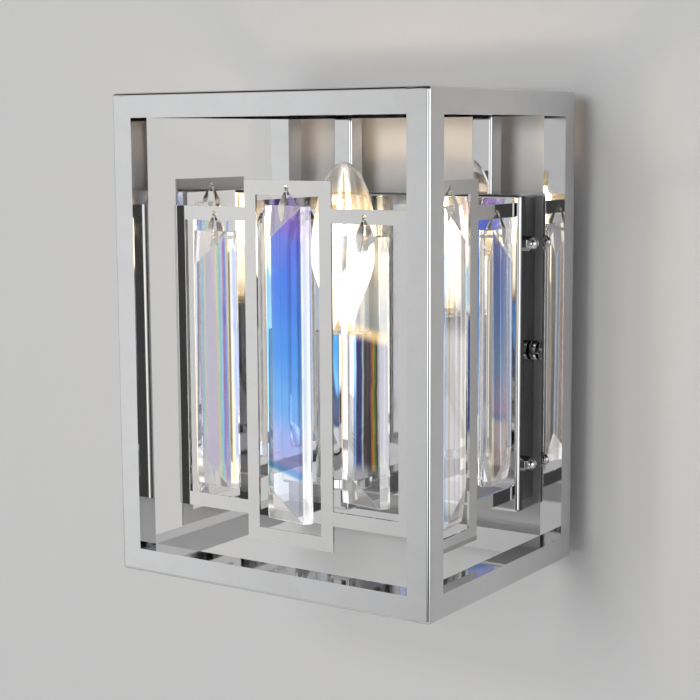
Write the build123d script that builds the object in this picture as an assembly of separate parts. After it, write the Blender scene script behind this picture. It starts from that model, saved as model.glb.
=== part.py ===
from build123d import *
import os
from math import sqrt

# Crystal wall sconce: a polished box frame of square tube in front of a wall canopy, with a cut-sheet cage
# inside it, seven hanging crystals in the cage's windows and one candle lamp in the middle.
# Origin: centre of the bracket's back face, on the wall. +X right, -Y out of the wall, +Z up. Millimetres.

os.makedirs("parts", exist_ok=True)

# ---------------------------------------------------------------- box frame
frame_width = 190.0
frame_height = 250.0
frame_projection = 160.0       # wall to the front of the frame
frame_standoff = 10.0          # wall to the back of the frame
frame_drop = 112.0             # wall mount's centre to the bottom of the frame
tube_size = 12.5
tube_wall = 1.2
tube_edge_radius = 1.8
vent_radius = 2.5              # holes in the posts that open each rail's bore into the post's

frame_side = frame_width / 2
frame_depth = frame_projection - frame_standoff
frame_back = -frame_standoff
frame_front = -frame_projection
frame_middle_y = (frame_back + frame_front) / 2
frame_bottom = -frame_drop
frame_top = frame_bottom + frame_height
frame_middle_z = (frame_bottom + frame_top) / 2
tube_half = tube_size / 2
post_x = frame_side - tube_half
post_front_y = frame_front + tube_half
post_rear_y = frame_back - tube_half
rail_top_z = frame_top - tube_half
rail_bottom_z = frame_bottom + tube_half

# ---------------------------------------------------------------- canopy and its bracket
canopy_height = 170.0
canopy_depth = 38.0
canopy_wall = 1.2
canopy_edge_radius = 2.0
bracket_height = 30.0
bracket_thickness = 2.0
bracket_ear_length = 20.0
bracket_gap = 0.3              # ear to the canopy's side wall
wall_slot_spacing = 70.0
wall_slot_width = 5.0
wall_slot_length = 12.0
thumbscrew_y = -12.5
thumbscrew_knob_radius = 5.5
thumbscrew_knob_length = 4.5
thumbscrew_inside = 5.0        # shank past the ear
earth_screw_inset = 18.5       # from the bracket's end

canopy_top = canopy_height / 2
canopy_front = -canopy_depth
canopy_inner_top = canopy_top - canopy_wall
canopy_inner_front = canopy_front + canopy_wall

# ---------------------------------------------------------------- threads and screws (major radii)
m3_radius = 1.5
m4_radius = 2.0
thread_clearance = 0.05        # radial, screw to its threaded hole
pass_clearance = 0.2           # radial, screw to a plain hole
pan_head_height = 2.0
m3_head_radius = 2.4
m4_head_radius = 3.6
washer_radius = 4.0

# ---------------------------------------------------------------- stanchions between canopy and frame
stanchion_x = 45.0             # middle plane to each stanchion's axis
stanchion_end = 10.0           # solid threaded lower end
stanchion_screw_reach = 8.0
stanchion_foot = canopy_top
stanchion_head = frame_top - tube_size

# ---------------------------------------------------------------- sheet cage
cage_gap = 8.25                # tube's inner face to the sheet, at the front and at the sides
sheet_thickness = 1.2
bend_radius = 3.9              # outside of the corner bends
bar_width = 7.2
corner_bar_flat = 5.4          # front bar at each corner, up to where its bend starts
side_bar_width = 8.0
side_window_step = 1.45        # how much wider the tall side window is than the small one
cage_middle_z = 1.5
tall_frame_height = 185.0
small_frame_height = 158.0
tab_width = 10.0
tab_y = -30.0                  # screws that hold the cage's tabs to the canopy's sides
tab_z = 59.0
tab_reach = 5.0                # tab past its screw
tab_spacer = 1.55              # washer between a tab and the canopy's side
slot_clearance = 0.4           # bar to its slot in the canopy's front
nut_across_corners = 8.1
nut_height = 3.0
nut_dome_radius = 3.4
nut_bore_depth = 4.5
cage_screw_reach = 4.0         # past the canopy's side face

sheet_front = frame_front + tube_size + cage_gap
sheet_side = frame_side - tube_size - cage_gap
sheet_middle_y = sheet_front + sheet_thickness / 2
sheet_middle_x = sheet_side - sheet_thickness / 2
sheet_inner_x = sheet_side - sheet_thickness
canopy_inner_side = sheet_side + tab_spacer
canopy_side = canopy_inner_side + canopy_wall
bracket_side = canopy_inner_side - bracket_gap
earth_screw_x = bracket_side - earth_screw_inset
bend_end_y = sheet_front + bend_radius
small_window_x = sheet_side - bend_radius - corner_bar_flat
window_width = 2 * (small_window_x - bar_width) / 3
crystal_pitch = window_width + bar_width
middle_window_x = window_width / 2
middle_frame_x = middle_window_x + bar_width
side_window_width = (canopy_front - bend_end_y - 2 * side_bar_width + side_window_step) / 2
side_window_front = bend_end_y + side_bar_width
side_window_rear = side_window_front + side_window_width
side_frame_rear = side_window_rear + side_bar_width
tall_top = cage_middle_z + tall_frame_height / 2
tall_bottom = cage_middle_z - tall_frame_height / 2
small_top = cage_middle_z + small_frame_height / 2
small_bottom = cage_middle_z - small_frame_height / 2

# ---------------------------------------------------------------- crystals and their bails
crystal_side_gap = 5.75        # crystal to the front windows' bars
crystal_head_gap = 5.4         # crystal to the window's top
crystal_foot_gap = 5.6         # crystal to the window's bottom
crystal_bevel_width = 2.75
crystal_thickness = 8.0
crystal_edge_flat = 1.6        # land between the bevels on each long edge
crystal_hole_drop = 3.5        # top of the crystal to its hole
crystal_hole_radius = 0.8
facet_height = 17.5            # corner facets, along the long edge
facet_depth = 3.2              # what they take off the face at the corner
hanger_hole_radius = 1.2
hanger_clearance = 0.2         # sheet hole's edge to the bail's bow, at rest
bow_radius = 1.6               # bail's bow through the sheet hole, to the middle of the wire
bow_wire = 0.9
bail_thickness = 0.6
bail_gap = 0.3                 # leg to the crystal's face
bail_shoulder_rise = 0.4       # leg's bend above the top of the crystal
bail_leaf_width = 4.4
bail_tip_width = 2.4
bail_below_pin = 4.2
bail_pin_radius = 0.6
bail_pin_length = 2.8

bow_inner = bow_radius - bow_wire / 2
bow_lift = sqrt(bow_inner ** 2 - (sheet_thickness / 2) ** 2)
bow_z = -hanger_hole_radius + hanger_clearance - bow_lift
crystal_top_z = -bar_width / 2 - crystal_head_gap
crystal_width = window_width - 2 * crystal_side_gap
crystal_face_width = crystal_width - 2 * crystal_bevel_width
tall_crystal_length = tall_frame_height - 2 * bar_width - crystal_head_gap - crystal_foot_gap
small_crystal_length = small_frame_height - 2 * bar_width - crystal_head_gap - crystal_foot_gap
pin_z = crystal_top_z - crystal_hole_drop
leg_inner_y = crystal_thickness / 2 + bail_gap
leg_outer_y = leg_inner_y + bail_thickness

# ---------------------------------------------------------------- lamp arm, holder and bulb
lamp_y = -88.0
arm_size = 12.5
arm_wall = 1.2
arm_edge_radius = 1.2
arm_top = -68.5
arm_nose = 8.0                 # lamp axis to the arm's closed end
arm_block = 8.0                # solid rear end with the screw holes
arm_screw_x = 4.3
arm_screw_reach = 6.0          # into the block
wire_bore_radius = 2.0
base_radius = 16.0
base_height = 5.5
base_step_height = 3.0
sleeve_radius = 16.0
sleeve_wall = 1.0
sleeve_height = 77.0
sleeve_gap = 0.1               # radial, sleeve to the base's step
nipple_radius = 4.0
nipple_bore_radius = 2.8
nipple_below_arm = 3.0
nipple_gap = 2.0               # nipple's top to the hub's floor
nut_size = 14.0                # lamp nut, across flats
lamp_nut_height = 4.0
holder_radius = 13.5
holder_below_rim = 2.0         # holder's top to the sleeve's rim
holder_height = 36.0
holder_hub_depth = 8.0
holder_floor = 4.0
cavity_radius = 7.7
shell_radius = 7.6
shell_wall = 0.4
shell_height = 18.0
shell_below_top = 3.0
tongue_disc_radius = 5.0
tongue_disc_height = 0.6
tongue_button_radius = 2.0
contact_gap = 0.3              # tongue to the bulb's centre contact
bulb_cap_radius = 6.95
bulb_cap_length = 23.0
bulb_insulator_radius = 5.0
bulb_insulator_height = 2.0
bulb_contact_radius = 2.3
bulb_contact_height = 1.0
bulb_cap_above_rim = 1.0
bulb_radius = 17.5
bulb_crown = 50.0              # widest section to the tip
bulb_length = 110.5
bulb_wall = 0.8
bulb_fullness = 0.45           # how far the shoulder's curve stays upright at each end, as a share of its rise
ellipse_pull = 0.5523          # share of each half axis that makes a Bezier curve a quarter ellipse
stem_radius = 2.6
stem_length = 34.0
led_count = 4
led_radius = 0.9
led_length = 34.0
led_circle_radius = 5.0
led_carrier_height = 0.8

arm_bottom = arm_top - arm_size
arm_middle_z = (arm_top + arm_bottom) / 2
arm_front = lamp_y - arm_nose
base_top = arm_top + base_height
rim_z = base_top + sleeve_height
holder_top = rim_z - holder_below_rim
holder_bottom = holder_top - holder_height
hub_top = holder_bottom + holder_hub_depth
cavity_floor = hub_top + holder_floor
nipple_bottom = arm_top - arm_wall - nipple_below_arm
nipple_top = hub_top - nipple_gap
cap_top = rim_z + bulb_cap_above_rim
cap_bottom = cap_top - bulb_cap_length
bulb_tip = cap_bottom + bulb_length
bulb_widest = bulb_tip - bulb_crown

# ---------------------------------------------------------------- wiring inside the canopy
terminal_width = 24.0
terminal_depth = 14.0
terminal_height = 12.0
terminal_bottom = -58.0
terminal_poles = 3
terminal_hole_radius = 1.6
lead_radius = 0.75
lead_x = 0.95
lead_y = -30.0
lead_bend = 3.5


def block(x0, x1, y0, y1, z0, z1):
    """Box between two corners."""
    return Pos((x0 + x1) / 2, (y0 + y1) / 2, (z0 + z1) / 2) * Box(x1 - x0, y1 - y0, z1 - z0)


def rod(radius, start, end):
    """Cylinder between two points on a line along one of the axes."""
    path = Vector(*end) - Vector(*start)
    middle = (Vector(*start) + Vector(*end)) * 0.5
    return Plane(origin=middle, z_dir=path) * Cylinder(radius, path.length)


def joined(solids):
    """Loose solids of one node, kept apart."""
    return Compound(children=list(solids))


def pan_screw(radius, head_radius, seat, end):
    """Screw whose head's underside is at seat and whose tip is at end."""
    away = (Vector(*seat) - Vector(*end)).normalized() * pan_head_height
    head_end = Vector(*seat) + away
    shank = rod(radius - thread_clearance, seat, end)
    return shank + rod(head_radius, seat, (head_end.X, head_end.Y, head_end.Z))


# ---------------------------------------------------------------- box frame
def frame_skeleton():
    """All twelve tubes as one rounded box with three windows cut through it."""
    outline = block(-frame_side, frame_side, frame_front, frame_back, frame_bottom, frame_top)
    outline = fillet(outline.edges(), tube_edge_radius)
    middle = Pos(0, frame_middle_y, frame_middle_z)
    clear_x = frame_width - 2 * tube_size
    clear_y = frame_depth - 2 * tube_size
    clear_z = frame_height - 2 * tube_size
    outline -= middle * Box(frame_width, clear_y, clear_z)
    outline -= middle * Box(clear_x, frame_depth, clear_z)
    outline -= middle * Box(clear_x, clear_y, frame_height)
    return outline


def frame_post(skeleton, side, y):
    """Full-height corner post with a closed bore, vented into the bores of its four rails."""
    x = side * post_x
    bore = tube_size - 2 * tube_wall
    post = skeleton & (Pos(x, y, frame_middle_z) * Box(tube_size, tube_size, frame_height))
    post -= Pos(x, y, frame_middle_z) * Box(bore, bore, frame_height - 2 * tube_wall)
    inward_y = frame_middle_y - y
    for z in (rail_top_z, rail_bottom_z):
        post -= rod(vent_radius, (x, y, z), (x - side * tube_size, y, z))
        post -= rod(vent_radius, (x, y, z), (x, y + tube_size * inward_y / abs(inward_y), z))
    return post


def frame_rail_x(skeleton, y, z):
    """Rail between two posts, running left to right."""
    length = frame_width - 2 * tube_size
    bore = tube_size - 2 * tube_wall
    rail = skeleton & (Pos(0, y, z) * Box(length, tube_size, tube_size))
    return rail - Pos(0, y, z) * Box(length, bore, bore)


def frame_rail_y(skeleton, side, z):
    """Rail between two posts, running from front to wall."""
    length = frame_depth - 2 * tube_size
    bore = tube_size - 2 * tube_wall
    rail = skeleton & (Pos(side * post_x, frame_middle_y, z) * Box(tube_size, length, tube_size))
    return rail - Pos(side * post_x, frame_middle_y, z) * Box(bore, length, bore)


def stanchion(side):
    """Short upright that carries the frame's rear top rail on the canopy."""
    x = side * stanchion_x
    height = stanchion_head - stanchion_foot
    bore = tube_size - 2 * tube_wall
    post = Pos(x, post_rear_y, stanchion_foot + height / 2) * Box(tube_size, tube_size, height)
    post = fillet(post.edges().filter_by(Axis.Z), tube_edge_radius)
    post -= block(x - bore / 2, x + bore / 2, post_rear_y - bore / 2, post_rear_y + bore / 2,
                  stanchion_foot + stanchion_end, stanchion_head)
    bore_top = stanchion_foot + stanchion_end
    return post - rod(m4_radius, (x, post_rear_y, stanchion_foot), (x, post_rear_y, bore_top))


def stanchion_screws():
    """One screw up through the canopy's top into each stanchion."""
    tip = stanchion_foot + stanchion_screw_reach
    return joined(
        pan_screw(m4_radius, m4_head_radius, (x, post_rear_y, canopy_inner_top), (x, post_rear_y, tip))
        for x in (-stanchion_x, stanchion_x))


# ---------------------------------------------------------------- canopy and bracket
def canopy():
    """Open-backed pan with slots for the cage's bars and holes for its screws."""
    pan = block(-canopy_side, canopy_side, canopy_front, 0, -canopy_top, canopy_top)
    pan = fillet(pan.edges().filter_by(Axis.Y) + pan.faces().sort_by(Axis.Y)[0].edges(), canopy_edge_radius)
    pan -= block(-canopy_inner_side, canopy_inner_side, canopy_inner_front, 0,
                 -canopy_inner_top, canopy_inner_top)
    slot_x = sheet_thickness / 2 + slot_clearance
    for side in (-1, 1):
        x = side * sheet_middle_x
        for low in (small_bottom, small_top - bar_width):
            pan -= block(x - slot_x, x + slot_x, canopy_front, canopy_inner_front,
                         low - slot_clearance, low + bar_width + slot_clearance)
        for z in (-tab_z, tab_z):
            pan -= rod(m4_radius + pass_clearance, (side * canopy_inner_side, tab_y, z),
                       (side * canopy_side, tab_y, z))
        pan -= rod(m4_radius + pass_clearance, (side * canopy_inner_side, thumbscrew_y, 0),
                   (side * canopy_side, thumbscrew_y, 0))
        pan -= rod(m4_radius + pass_clearance, (side * stanchion_x, post_rear_y, canopy_inner_top),
                   (side * stanchion_x, post_rear_y, canopy_top))
        pan -= rod(m3_radius + pass_clearance, (side * arm_screw_x, canopy_inner_front, arm_middle_z),
                   (side * arm_screw_x, canopy_front, arm_middle_z))
    return pan - rod(wire_bore_radius, (0, canopy_inner_front, arm_middle_z), (0, canopy_front, arm_middle_z))


def wall_bracket():
    """Flat strip on the wall with two slots, and an ear at each end for a thumbscrew."""
    half = bracket_height / 2
    strip = block(-bracket_side, bracket_side, -bracket_thickness, 0, -half, half)
    for side in (-1, 1):
        inner = side * (bracket_side - bracket_thickness)
        outer = side * bracket_side
        strip += block(min(inner, outer), max(inner, outer), -bracket_ear_length, 0, -half, half)
        strip -= rod(m4_radius, (inner, thumbscrew_y, 0), (outer, thumbscrew_y, 0))
        slot = SlotOverall(wall_slot_length, wall_slot_width)
        strip -= Pos(side * wall_slot_spacing / 2, -bracket_thickness, 0) * extrude(
            Plane.XZ * slot, -bracket_thickness)
    return strip - rod(m4_radius, (earth_screw_x, -bracket_thickness, 0), (earth_screw_x, 0, 0))


def canopy_thumbscrews():
    """Round-headed screws that hold the canopy on the bracket's ears."""
    screws = []
    for side in (-1, 1):
        knob = rod(thumbscrew_knob_radius, (side * canopy_side, thumbscrew_y, 0),
                   (side * (canopy_side + thumbscrew_knob_length), thumbscrew_y, 0))
        outer_edge = knob.edges().group_by(Axis.X)[-1 if side > 0 else 0]
        knob = fillet(outer_edge, 1.0)
        tip = side * (bracket_side - bracket_thickness - thumbscrew_inside)
        screws.append(knob + rod(m4_radius - thread_clearance, (side * canopy_side, thumbscrew_y, 0),
                                 (tip, thumbscrew_y, 0)))
    return joined(screws)


def earth_screw():
    """Earthing screw on the bracket."""
    return pan_screw(m4_radius, m4_head_radius, (earth_screw_x, -bracket_thickness, 0), (earth_screw_x, 0, 0))


# ---------------------------------------------------------------- cage
def cage_front():
    """Front of the cage with its two bends: one tall frame between two small ones."""
    inner_radius = bend_radius - sheet_thickness
    depth = 2 * bend_radius
    with BuildSketch() as outer:
        with Locations((0, sheet_front + depth)):
            Rectangle(2 * sheet_side, 2 * depth)
        fillet(outer.vertices().group_by(Axis.Y)[0], bend_radius)
    with BuildSketch() as inner:
        with Locations((0, sheet_front + depth)):
            Rectangle(2 * sheet_inner_x, 2 * (depth - sheet_thickness))
        fillet(inner.vertices().group_by(Axis.Y)[0], inner_radius)
    bent = Pos(0, 0, tall_bottom) * extrude(outer.sketch - inner.sketch, tall_frame_height)
    bent &= block(-sheet_side, sheet_side, sheet_front, bend_end_y, tall_bottom, tall_top)
    bent -= block(-middle_window_x, middle_window_x, sheet_front, bend_end_y,
                  tall_bottom + bar_width, tall_top - bar_width)
    bent -= hanger_hole(0, sheet_middle_y, tall_top, 0)
    for side in (-1, 1):
        edge = side * middle_frame_x
        far = side * sheet_side
        window = side * small_window_x
        for low, high in ((tall_bottom, small_bottom), (small_top, tall_top)):
            bent -= block(min(edge, far), max(edge, far), sheet_front, bend_end_y, low, high)
        bent -= block(min(edge, window), max(edge, window), sheet_front, bend_end_y,
                      small_bottom + bar_width, small_top - bar_width)
        bent -= hanger_hole(side * crystal_pitch, sheet_middle_y, small_top, 0)
    return bent


def hanger_hole(x, y, top, angle):
    """Hole for a crystal's bail, in the middle of a frame's top bar."""
    drill = Rot(X=90) * Cylinder(hanger_hole_radius, 2 * sheet_thickness)
    return Pos(x, y, top - bar_width / 2) * Rot(Z=angle) * drill


def cage_side(side):
    """Side of the cage: a tall frame, then two bars that run into the canopy and end in screwed tabs."""
    x = side * sheet_middle_x
    x0 = x - sheet_thickness / 2
    x1 = x + sheet_thickness / 2
    plate = block(x0, x1, bend_end_y, side_frame_rear, tall_bottom, tall_top)
    plate -= block(x0, x1, side_window_front, side_window_rear, tall_bottom + bar_width, tall_top - bar_width)
    tab_rear = tab_y + tab_width / 2
    for low in (small_bottom, small_top - bar_width):
        plate += block(x0, x1, side_frame_rear, tab_rear, low, low + bar_width)
    for sign, end in ((1, small_top), (-1, small_bottom)):
        reach = sign * (tab_z - tab_reach)
        plate += block(x0, x1, tab_y - tab_width / 2, tab_rear, min(reach, end), max(reach, end))
        plate -= rod(m4_radius + pass_clearance, (x0, tab_y, sign * tab_z), (x1, tab_y, sign * tab_z))
    plate -= hanger_hole(x, side_tall_y, tall_top, 90)
    return plate - hanger_hole(x, side_small_y, small_top, 90)


side_tall_y = (side_window_front + side_window_rear) / 2
side_small_y = (side_frame_rear + canopy_front) / 2


def tab_places():
    """Where the cage's tabs are screwed: side and height of each."""
    return [(side, z) for side in (-1, 1) for z in (-tab_z, tab_z)]


def cage_screws():
    """Screws through the tabs, spacers and canopy sides."""
    return joined(
        pan_screw(m4_radius, m4_head_radius, (side * sheet_inner_x, tab_y, z),
                  (side * (canopy_side + cage_screw_reach), tab_y, z))
        for side, z in tab_places())


def cage_spacers():
    """Washers that fill the gap between each tab and the canopy's side."""
    washers = []
    for side, z in tab_places():
        start = (side * sheet_side, tab_y, z)
        end = (side * canopy_inner_side, tab_y, z)
        washers.append(rod(washer_radius, start, end) - rod(m4_radius + pass_clearance, start, end))
    return joined(washers)


def domed_nuts():
    """Cap nuts on the canopy's side faces."""
    nuts = []
    with BuildSketch() as hexagon:
        RegularPolygon(nut_across_corners / 2, 6)
    nut = extrude(hexagon.sketch, nut_height) + Pos(0, 0, nut_height) * Sphere(nut_dome_radius)
    nut &= Pos(0, 0, canopy_side / 2) * Box(canopy_side, canopy_side, canopy_side)
    nut -= Pos(0, 0, nut_bore_depth / 2) * Cylinder(m4_radius, nut_bore_depth)
    for side, z in tab_places():
        nuts.append(Pos(side * canopy_side, tab_y, z) * Rot(Y=side * 90) * nut)
    return joined(nuts)


# ---------------------------------------------------------------- crystals and bails
# Each hanging set is made about its sheet hole, facing -Y, and then turned to its side of the cage.
def crystal(length, cut_side):
    """Bevelled bar with a diagonal facet across both corners of one long edge, and a hanging hole."""
    half_face = crystal_face_width / 2
    half_width = crystal_width / 2
    half_depth = crystal_thickness / 2
    land = crystal_edge_flat / 2
    outline = [(-half_face, -half_depth), (half_face, -half_depth), (half_width, -land), (half_width, land),
               (half_face, half_depth), (-half_face, half_depth), (-half_width, land), (-half_width, -land)]
    bottom = crystal_top_z - length
    bar = Pos(0, 0, bottom) * extrude(make_face(Polyline(*outline, close=True)), length)
    for end, inward in ((crystal_top_z, -1), (bottom, 1)):
        near = Vector(-cut_side * half_face, -half_depth, end)
        along = Vector(cut_side * half_face, -half_depth, end + inward * facet_height)
        deep = Vector(cut_side * half_face, -half_depth + facet_depth, end)
        normal = (along - near).cross(deep - near).normalized()
        if normal.Y > 0:
            normal = normal * -1
        bar -= Plane(origin=near, z_dir=normal) * (Pos(0, 0, length / 2) * Box(2 * length, 2 * length, length))
    return bar - rod(crystal_hole_radius, (0, -half_depth, pin_z), (0, half_depth, pin_z))


def bail():
    """Pinch bail: a wire bow through the sheet hole and two leaf-shaped legs whose pins enter the crystal."""
    bow = Pos(0, 0, bow_z) * Rot(Y=90) * Torus(bow_radius, bow_wire / 2)
    clip = bow & block(-bow_wire, bow_wire, -leg_outer_y, leg_outer_y, bow_z, bow_wire)
    tip_z = pin_z - bail_below_pin
    bend_z = crystal_top_z + bail_shoulder_rise
    half_leaf = bail_leaf_width / 2
    half_tip = bail_tip_width / 2
    half_wire = bow_wire / 2
    leaf = Polyline((-half_wire, bow_z), (half_wire, bow_z), (half_leaf, bend_z), (half_tip, tip_z),
                    (-half_tip, tip_z), (-half_leaf, bend_z), close=True)
    leaf = extrude(make_face(Plane.XZ * leaf), leg_outer_y, both=True)
    foot_inner = bow_radius - bail_thickness / 2
    foot_outer = bow_radius + bail_thickness / 2
    for side in (-1, 1):
        leg = Polyline((side * foot_inner, bow_z), (side * foot_outer, bow_z), (side * leg_outer_y, bend_z),
                       (side * leg_outer_y, tip_z), (side * leg_inner_y, tip_z), (side * leg_inner_y, bend_z),
                       close=True)
        clip += extrude(make_face(Plane.YZ * leg), half_leaf, both=True) & leaf
        pin_end = side * (leg_outer_y - bail_pin_length)
        clip += rod(bail_pin_radius, (0, side * leg_outer_y, pin_z), (0, pin_end, pin_z))
    return clip


def hanging_sets():
    """Each hanging set's name, sheet hole, turn, crystal length and cut side."""
    tall_hole = tall_top - bar_width / 2
    small_hole = small_top - bar_width / 2
    places = [("front_left", (-crystal_pitch, sheet_middle_y, small_hole), 0, small_crystal_length, -1),
              ("front_middle", (0, sheet_middle_y, tall_hole), 0, tall_crystal_length, -1),
              ("front_right", (crystal_pitch, sheet_middle_y, small_hole), 0, small_crystal_length, -1)]
    for name, side in (("left", -1), ("right", 1)):
        places.append((name + "_tall", (side * sheet_middle_x, side_tall_y, tall_hole), side * 90,
                       tall_crystal_length, side))
        places.append((name + "_small", (side * sheet_middle_x, side_small_y, small_hole), side * 90,
                       small_crystal_length, side))
    return places


# ---------------------------------------------------------------- lamp arm and holder
def lamp_arm():
    """Square arm from the canopy, closed at the front, with a drilled block at the back."""
    half = arm_size / 2
    arm = block(-half, half, arm_front, canopy_front, arm_bottom, arm_top)
    arm = fillet(arm.edges().filter_by(Axis.Y) + arm.faces().sort_by(Axis.Y)[0].edges(), arm_edge_radius)
    inner = half - arm_wall
    arm -= block(-inner, inner, arm_front + arm_wall, canopy_front - arm_block,
                 arm_bottom + arm_wall, arm_top - arm_wall)
    arm -= rod(nipple_radius + thread_clearance, (0, lamp_y, arm_top - arm_wall), (0, lamp_y, arm_top))
    arm -= rod(wire_bore_radius, (0, canopy_front - arm_block, arm_middle_z), (0, canopy_front, arm_middle_z))
    for x in (-arm_screw_x, arm_screw_x):
        arm -= rod(m3_radius, (x, canopy_front - arm_block, arm_middle_z), (x, canopy_front, arm_middle_z))
    return arm


def lamp_arm_screws():
    """Screws from inside the canopy into the arm's block."""
    return joined(
        pan_screw(m3_radius, m3_head_radius, (x, canopy_inner_front, arm_middle_z),
                  (x, canopy_front - arm_screw_reach, arm_middle_z))
        for x in (-arm_screw_x, arm_screw_x))


def lamp_base():
    """Disc on the arm with a step that centres the sleeve."""
    step = sleeve_radius - sleeve_wall - sleeve_gap
    disc = rod(base_radius, (0, lamp_y, arm_top), (0, lamp_y, base_top))
    disc = fillet(disc.edges().group_by(Axis.Z)[0], 1.0)
    disc += rod(step, (0, lamp_y, base_top), (0, lamp_y, base_top + base_step_height))
    return disc - rod(nipple_radius + thread_clearance, (0, lamp_y, arm_top),
                      (0, lamp_y, base_top + base_step_height))


def lamp_sleeve():
    """Plain tube that covers the holder."""
    ends = (0, lamp_y, base_top), (0, lamp_y, rim_z)
    return rod(sleeve_radius, *ends) - rod(sleeve_radius - sleeve_wall, *ends)


def lamp_nipple():
    """Threaded tube that carries the wires and clamps base and holder to the arm."""
    ends = (0, lamp_y, nipple_bottom), (0, lamp_y, nipple_top)
    return rod(nipple_radius, *ends) - rod(nipple_bore_radius, *ends)


def lamp_nut():
    """Hexagon nut on the base's step."""
    with BuildSketch() as hexagon:
        RegularPolygon(nut_size / 2, 6, major_radius=False)
    seat = base_top + base_step_height
    nut = Pos(0, lamp_y, seat) * extrude(hexagon.sketch, lamp_nut_height)
    return nut - rod(nipple_radius + thread_clearance, (0, lamp_y, seat), (0, lamp_y, seat + lamp_nut_height))


def lamp_holder():
    """Insulating body with a hub for the nipple, a wire hole and the socket's cavity."""
    body = rod(holder_radius, (0, lamp_y, holder_bottom), (0, lamp_y, holder_top))
    body -= rod(nipple_radius + thread_clearance, (0, lamp_y, holder_bottom), (0, lamp_y, hub_top))
    body -= rod(wire_bore_radius, (0, lamp_y, hub_top), (0, lamp_y, cavity_floor))
    return body - rod(cavity_radius, (0, lamp_y, cavity_floor), (0, lamp_y, holder_top))


def lamp_shell():
    """Threaded contact shell in the holder."""
    top = holder_top - shell_below_top
    ends = (0, lamp_y, top - shell_height), (0, lamp_y, top)
    return rod(shell_radius, *ends) - rod(shell_radius - shell_wall, *ends)


def lamp_tongue():
    """Centre contact on the cavity's floor."""
    disc_top = cavity_floor + tongue_disc_height
    tongue = rod(tongue_disc_radius, (0, lamp_y, cavity_floor), (0, lamp_y, disc_top))
    return tongue + rod(tongue_button_radius, (0, lamp_y, disc_top), (0, lamp_y, cap_bottom - contact_gap))


# ---------------------------------------------------------------- bulb
def bulb_cap():
    """Screw cap with its insulator and centre contact."""
    contact_top = cap_bottom + bulb_contact_height
    barrel_bottom = contact_top + bulb_insulator_height
    cap = rod(bulb_cap_radius, (0, lamp_y, barrel_bottom), (0, lamp_y, cap_top))
    cap += Pos(0, lamp_y, (contact_top + barrel_bottom) / 2) * Cone(
        bulb_contact_radius, bulb_insulator_radius, bulb_insulator_height)
    return cap + rod(bulb_contact_radius, (0, lamp_y, cap_bottom), (0, lamp_y, contact_top))


def glass_outline(inset):
    """Half section of the bulb's glass, inset from its outer surface."""
    neck = bulb_cap_radius - inset
    widest = bulb_radius - inset
    tip = bulb_tip - inset
    rise = bulb_widest - cap_top
    shoulder = Bezier((neck, cap_top), (neck, cap_top + bulb_fullness * rise),
                      (widest, bulb_widest - bulb_fullness * rise), (widest, bulb_widest))
    crown = Bezier((widest, bulb_widest), (widest, bulb_widest + ellipse_pull * (tip - bulb_widest)),
                   (ellipse_pull * widest, tip), (0, tip))
    axis = Line((0, tip), (0, cap_top))
    foot = Line((0, cap_top), (neck, cap_top))
    return make_face([shoulder, crown, axis, foot])


def bulb_glass():
    """Clear bulb, open at its neck."""
    envelope = revolve(Plane.XZ * glass_outline(0), Axis.Z)
    return Pos(0, lamp_y, 0) * (envelope - revolve(Plane.XZ * glass_outline(bulb_wall), Axis.Z))


def bulb_filament():
    """Glass stem with upright filament rods between two small carriers."""
    stem_top = cap_top + stem_length
    filament = rod(stem_radius, (0, lamp_y, cap_top), (0, lamp_y, stem_top))
    carrier_radius = led_circle_radius + 2 * led_radius
    low = stem_top - led_carrier_height
    high = stem_top + led_length
    filament += rod(carrier_radius, (0, lamp_y, low), (0, lamp_y, stem_top))
    filament += rod(carrier_radius, (0, lamp_y, high), (0, lamp_y, high + led_carrier_height))
    for place in PolarLocations(led_circle_radius, led_count):
        filament += Pos(0, lamp_y, (stem_top + high) / 2) * place * Cylinder(led_radius, led_length)
    return filament


# ---------------------------------------------------------------- wiring
def terminal_block():
    """Screw terminals on the inside of the canopy's front."""
    half = terminal_width / 2
    rear = canopy_inner_front + terminal_depth
    body = block(-half, half, canopy_inner_front, rear, terminal_bottom, terminal_bottom + terminal_height)
    pole_pitch = terminal_width / terminal_poles
    for place in GridLocations(pole_pitch, 1, terminal_poles, 1):
        x = place.position.X
        z = terminal_bottom + terminal_height / 2
        body -= rod(terminal_hole_radius, (x, rear - terminal_depth / 2, z), (x, rear, z))
    return body


def lamp_leads():
    """Two insulated wires from the terminals through the arm and nipple to the holder."""
    leads = []
    end_z = cavity_floor - contact_gap
    for x in (-lead_x, lead_x):
        path = FilletPolyline((x, lead_y, terminal_bottom), (x, lead_y, arm_middle_z),
                              (x, lamp_y, arm_middle_z), (x, lamp_y, end_z), radius=lead_bend)
        section = Plane(origin=path @ 0, z_dir=path % 0) * Circle(lead_radius)
        leads.append(sweep(section, path))
    return joined(leads)


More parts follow.
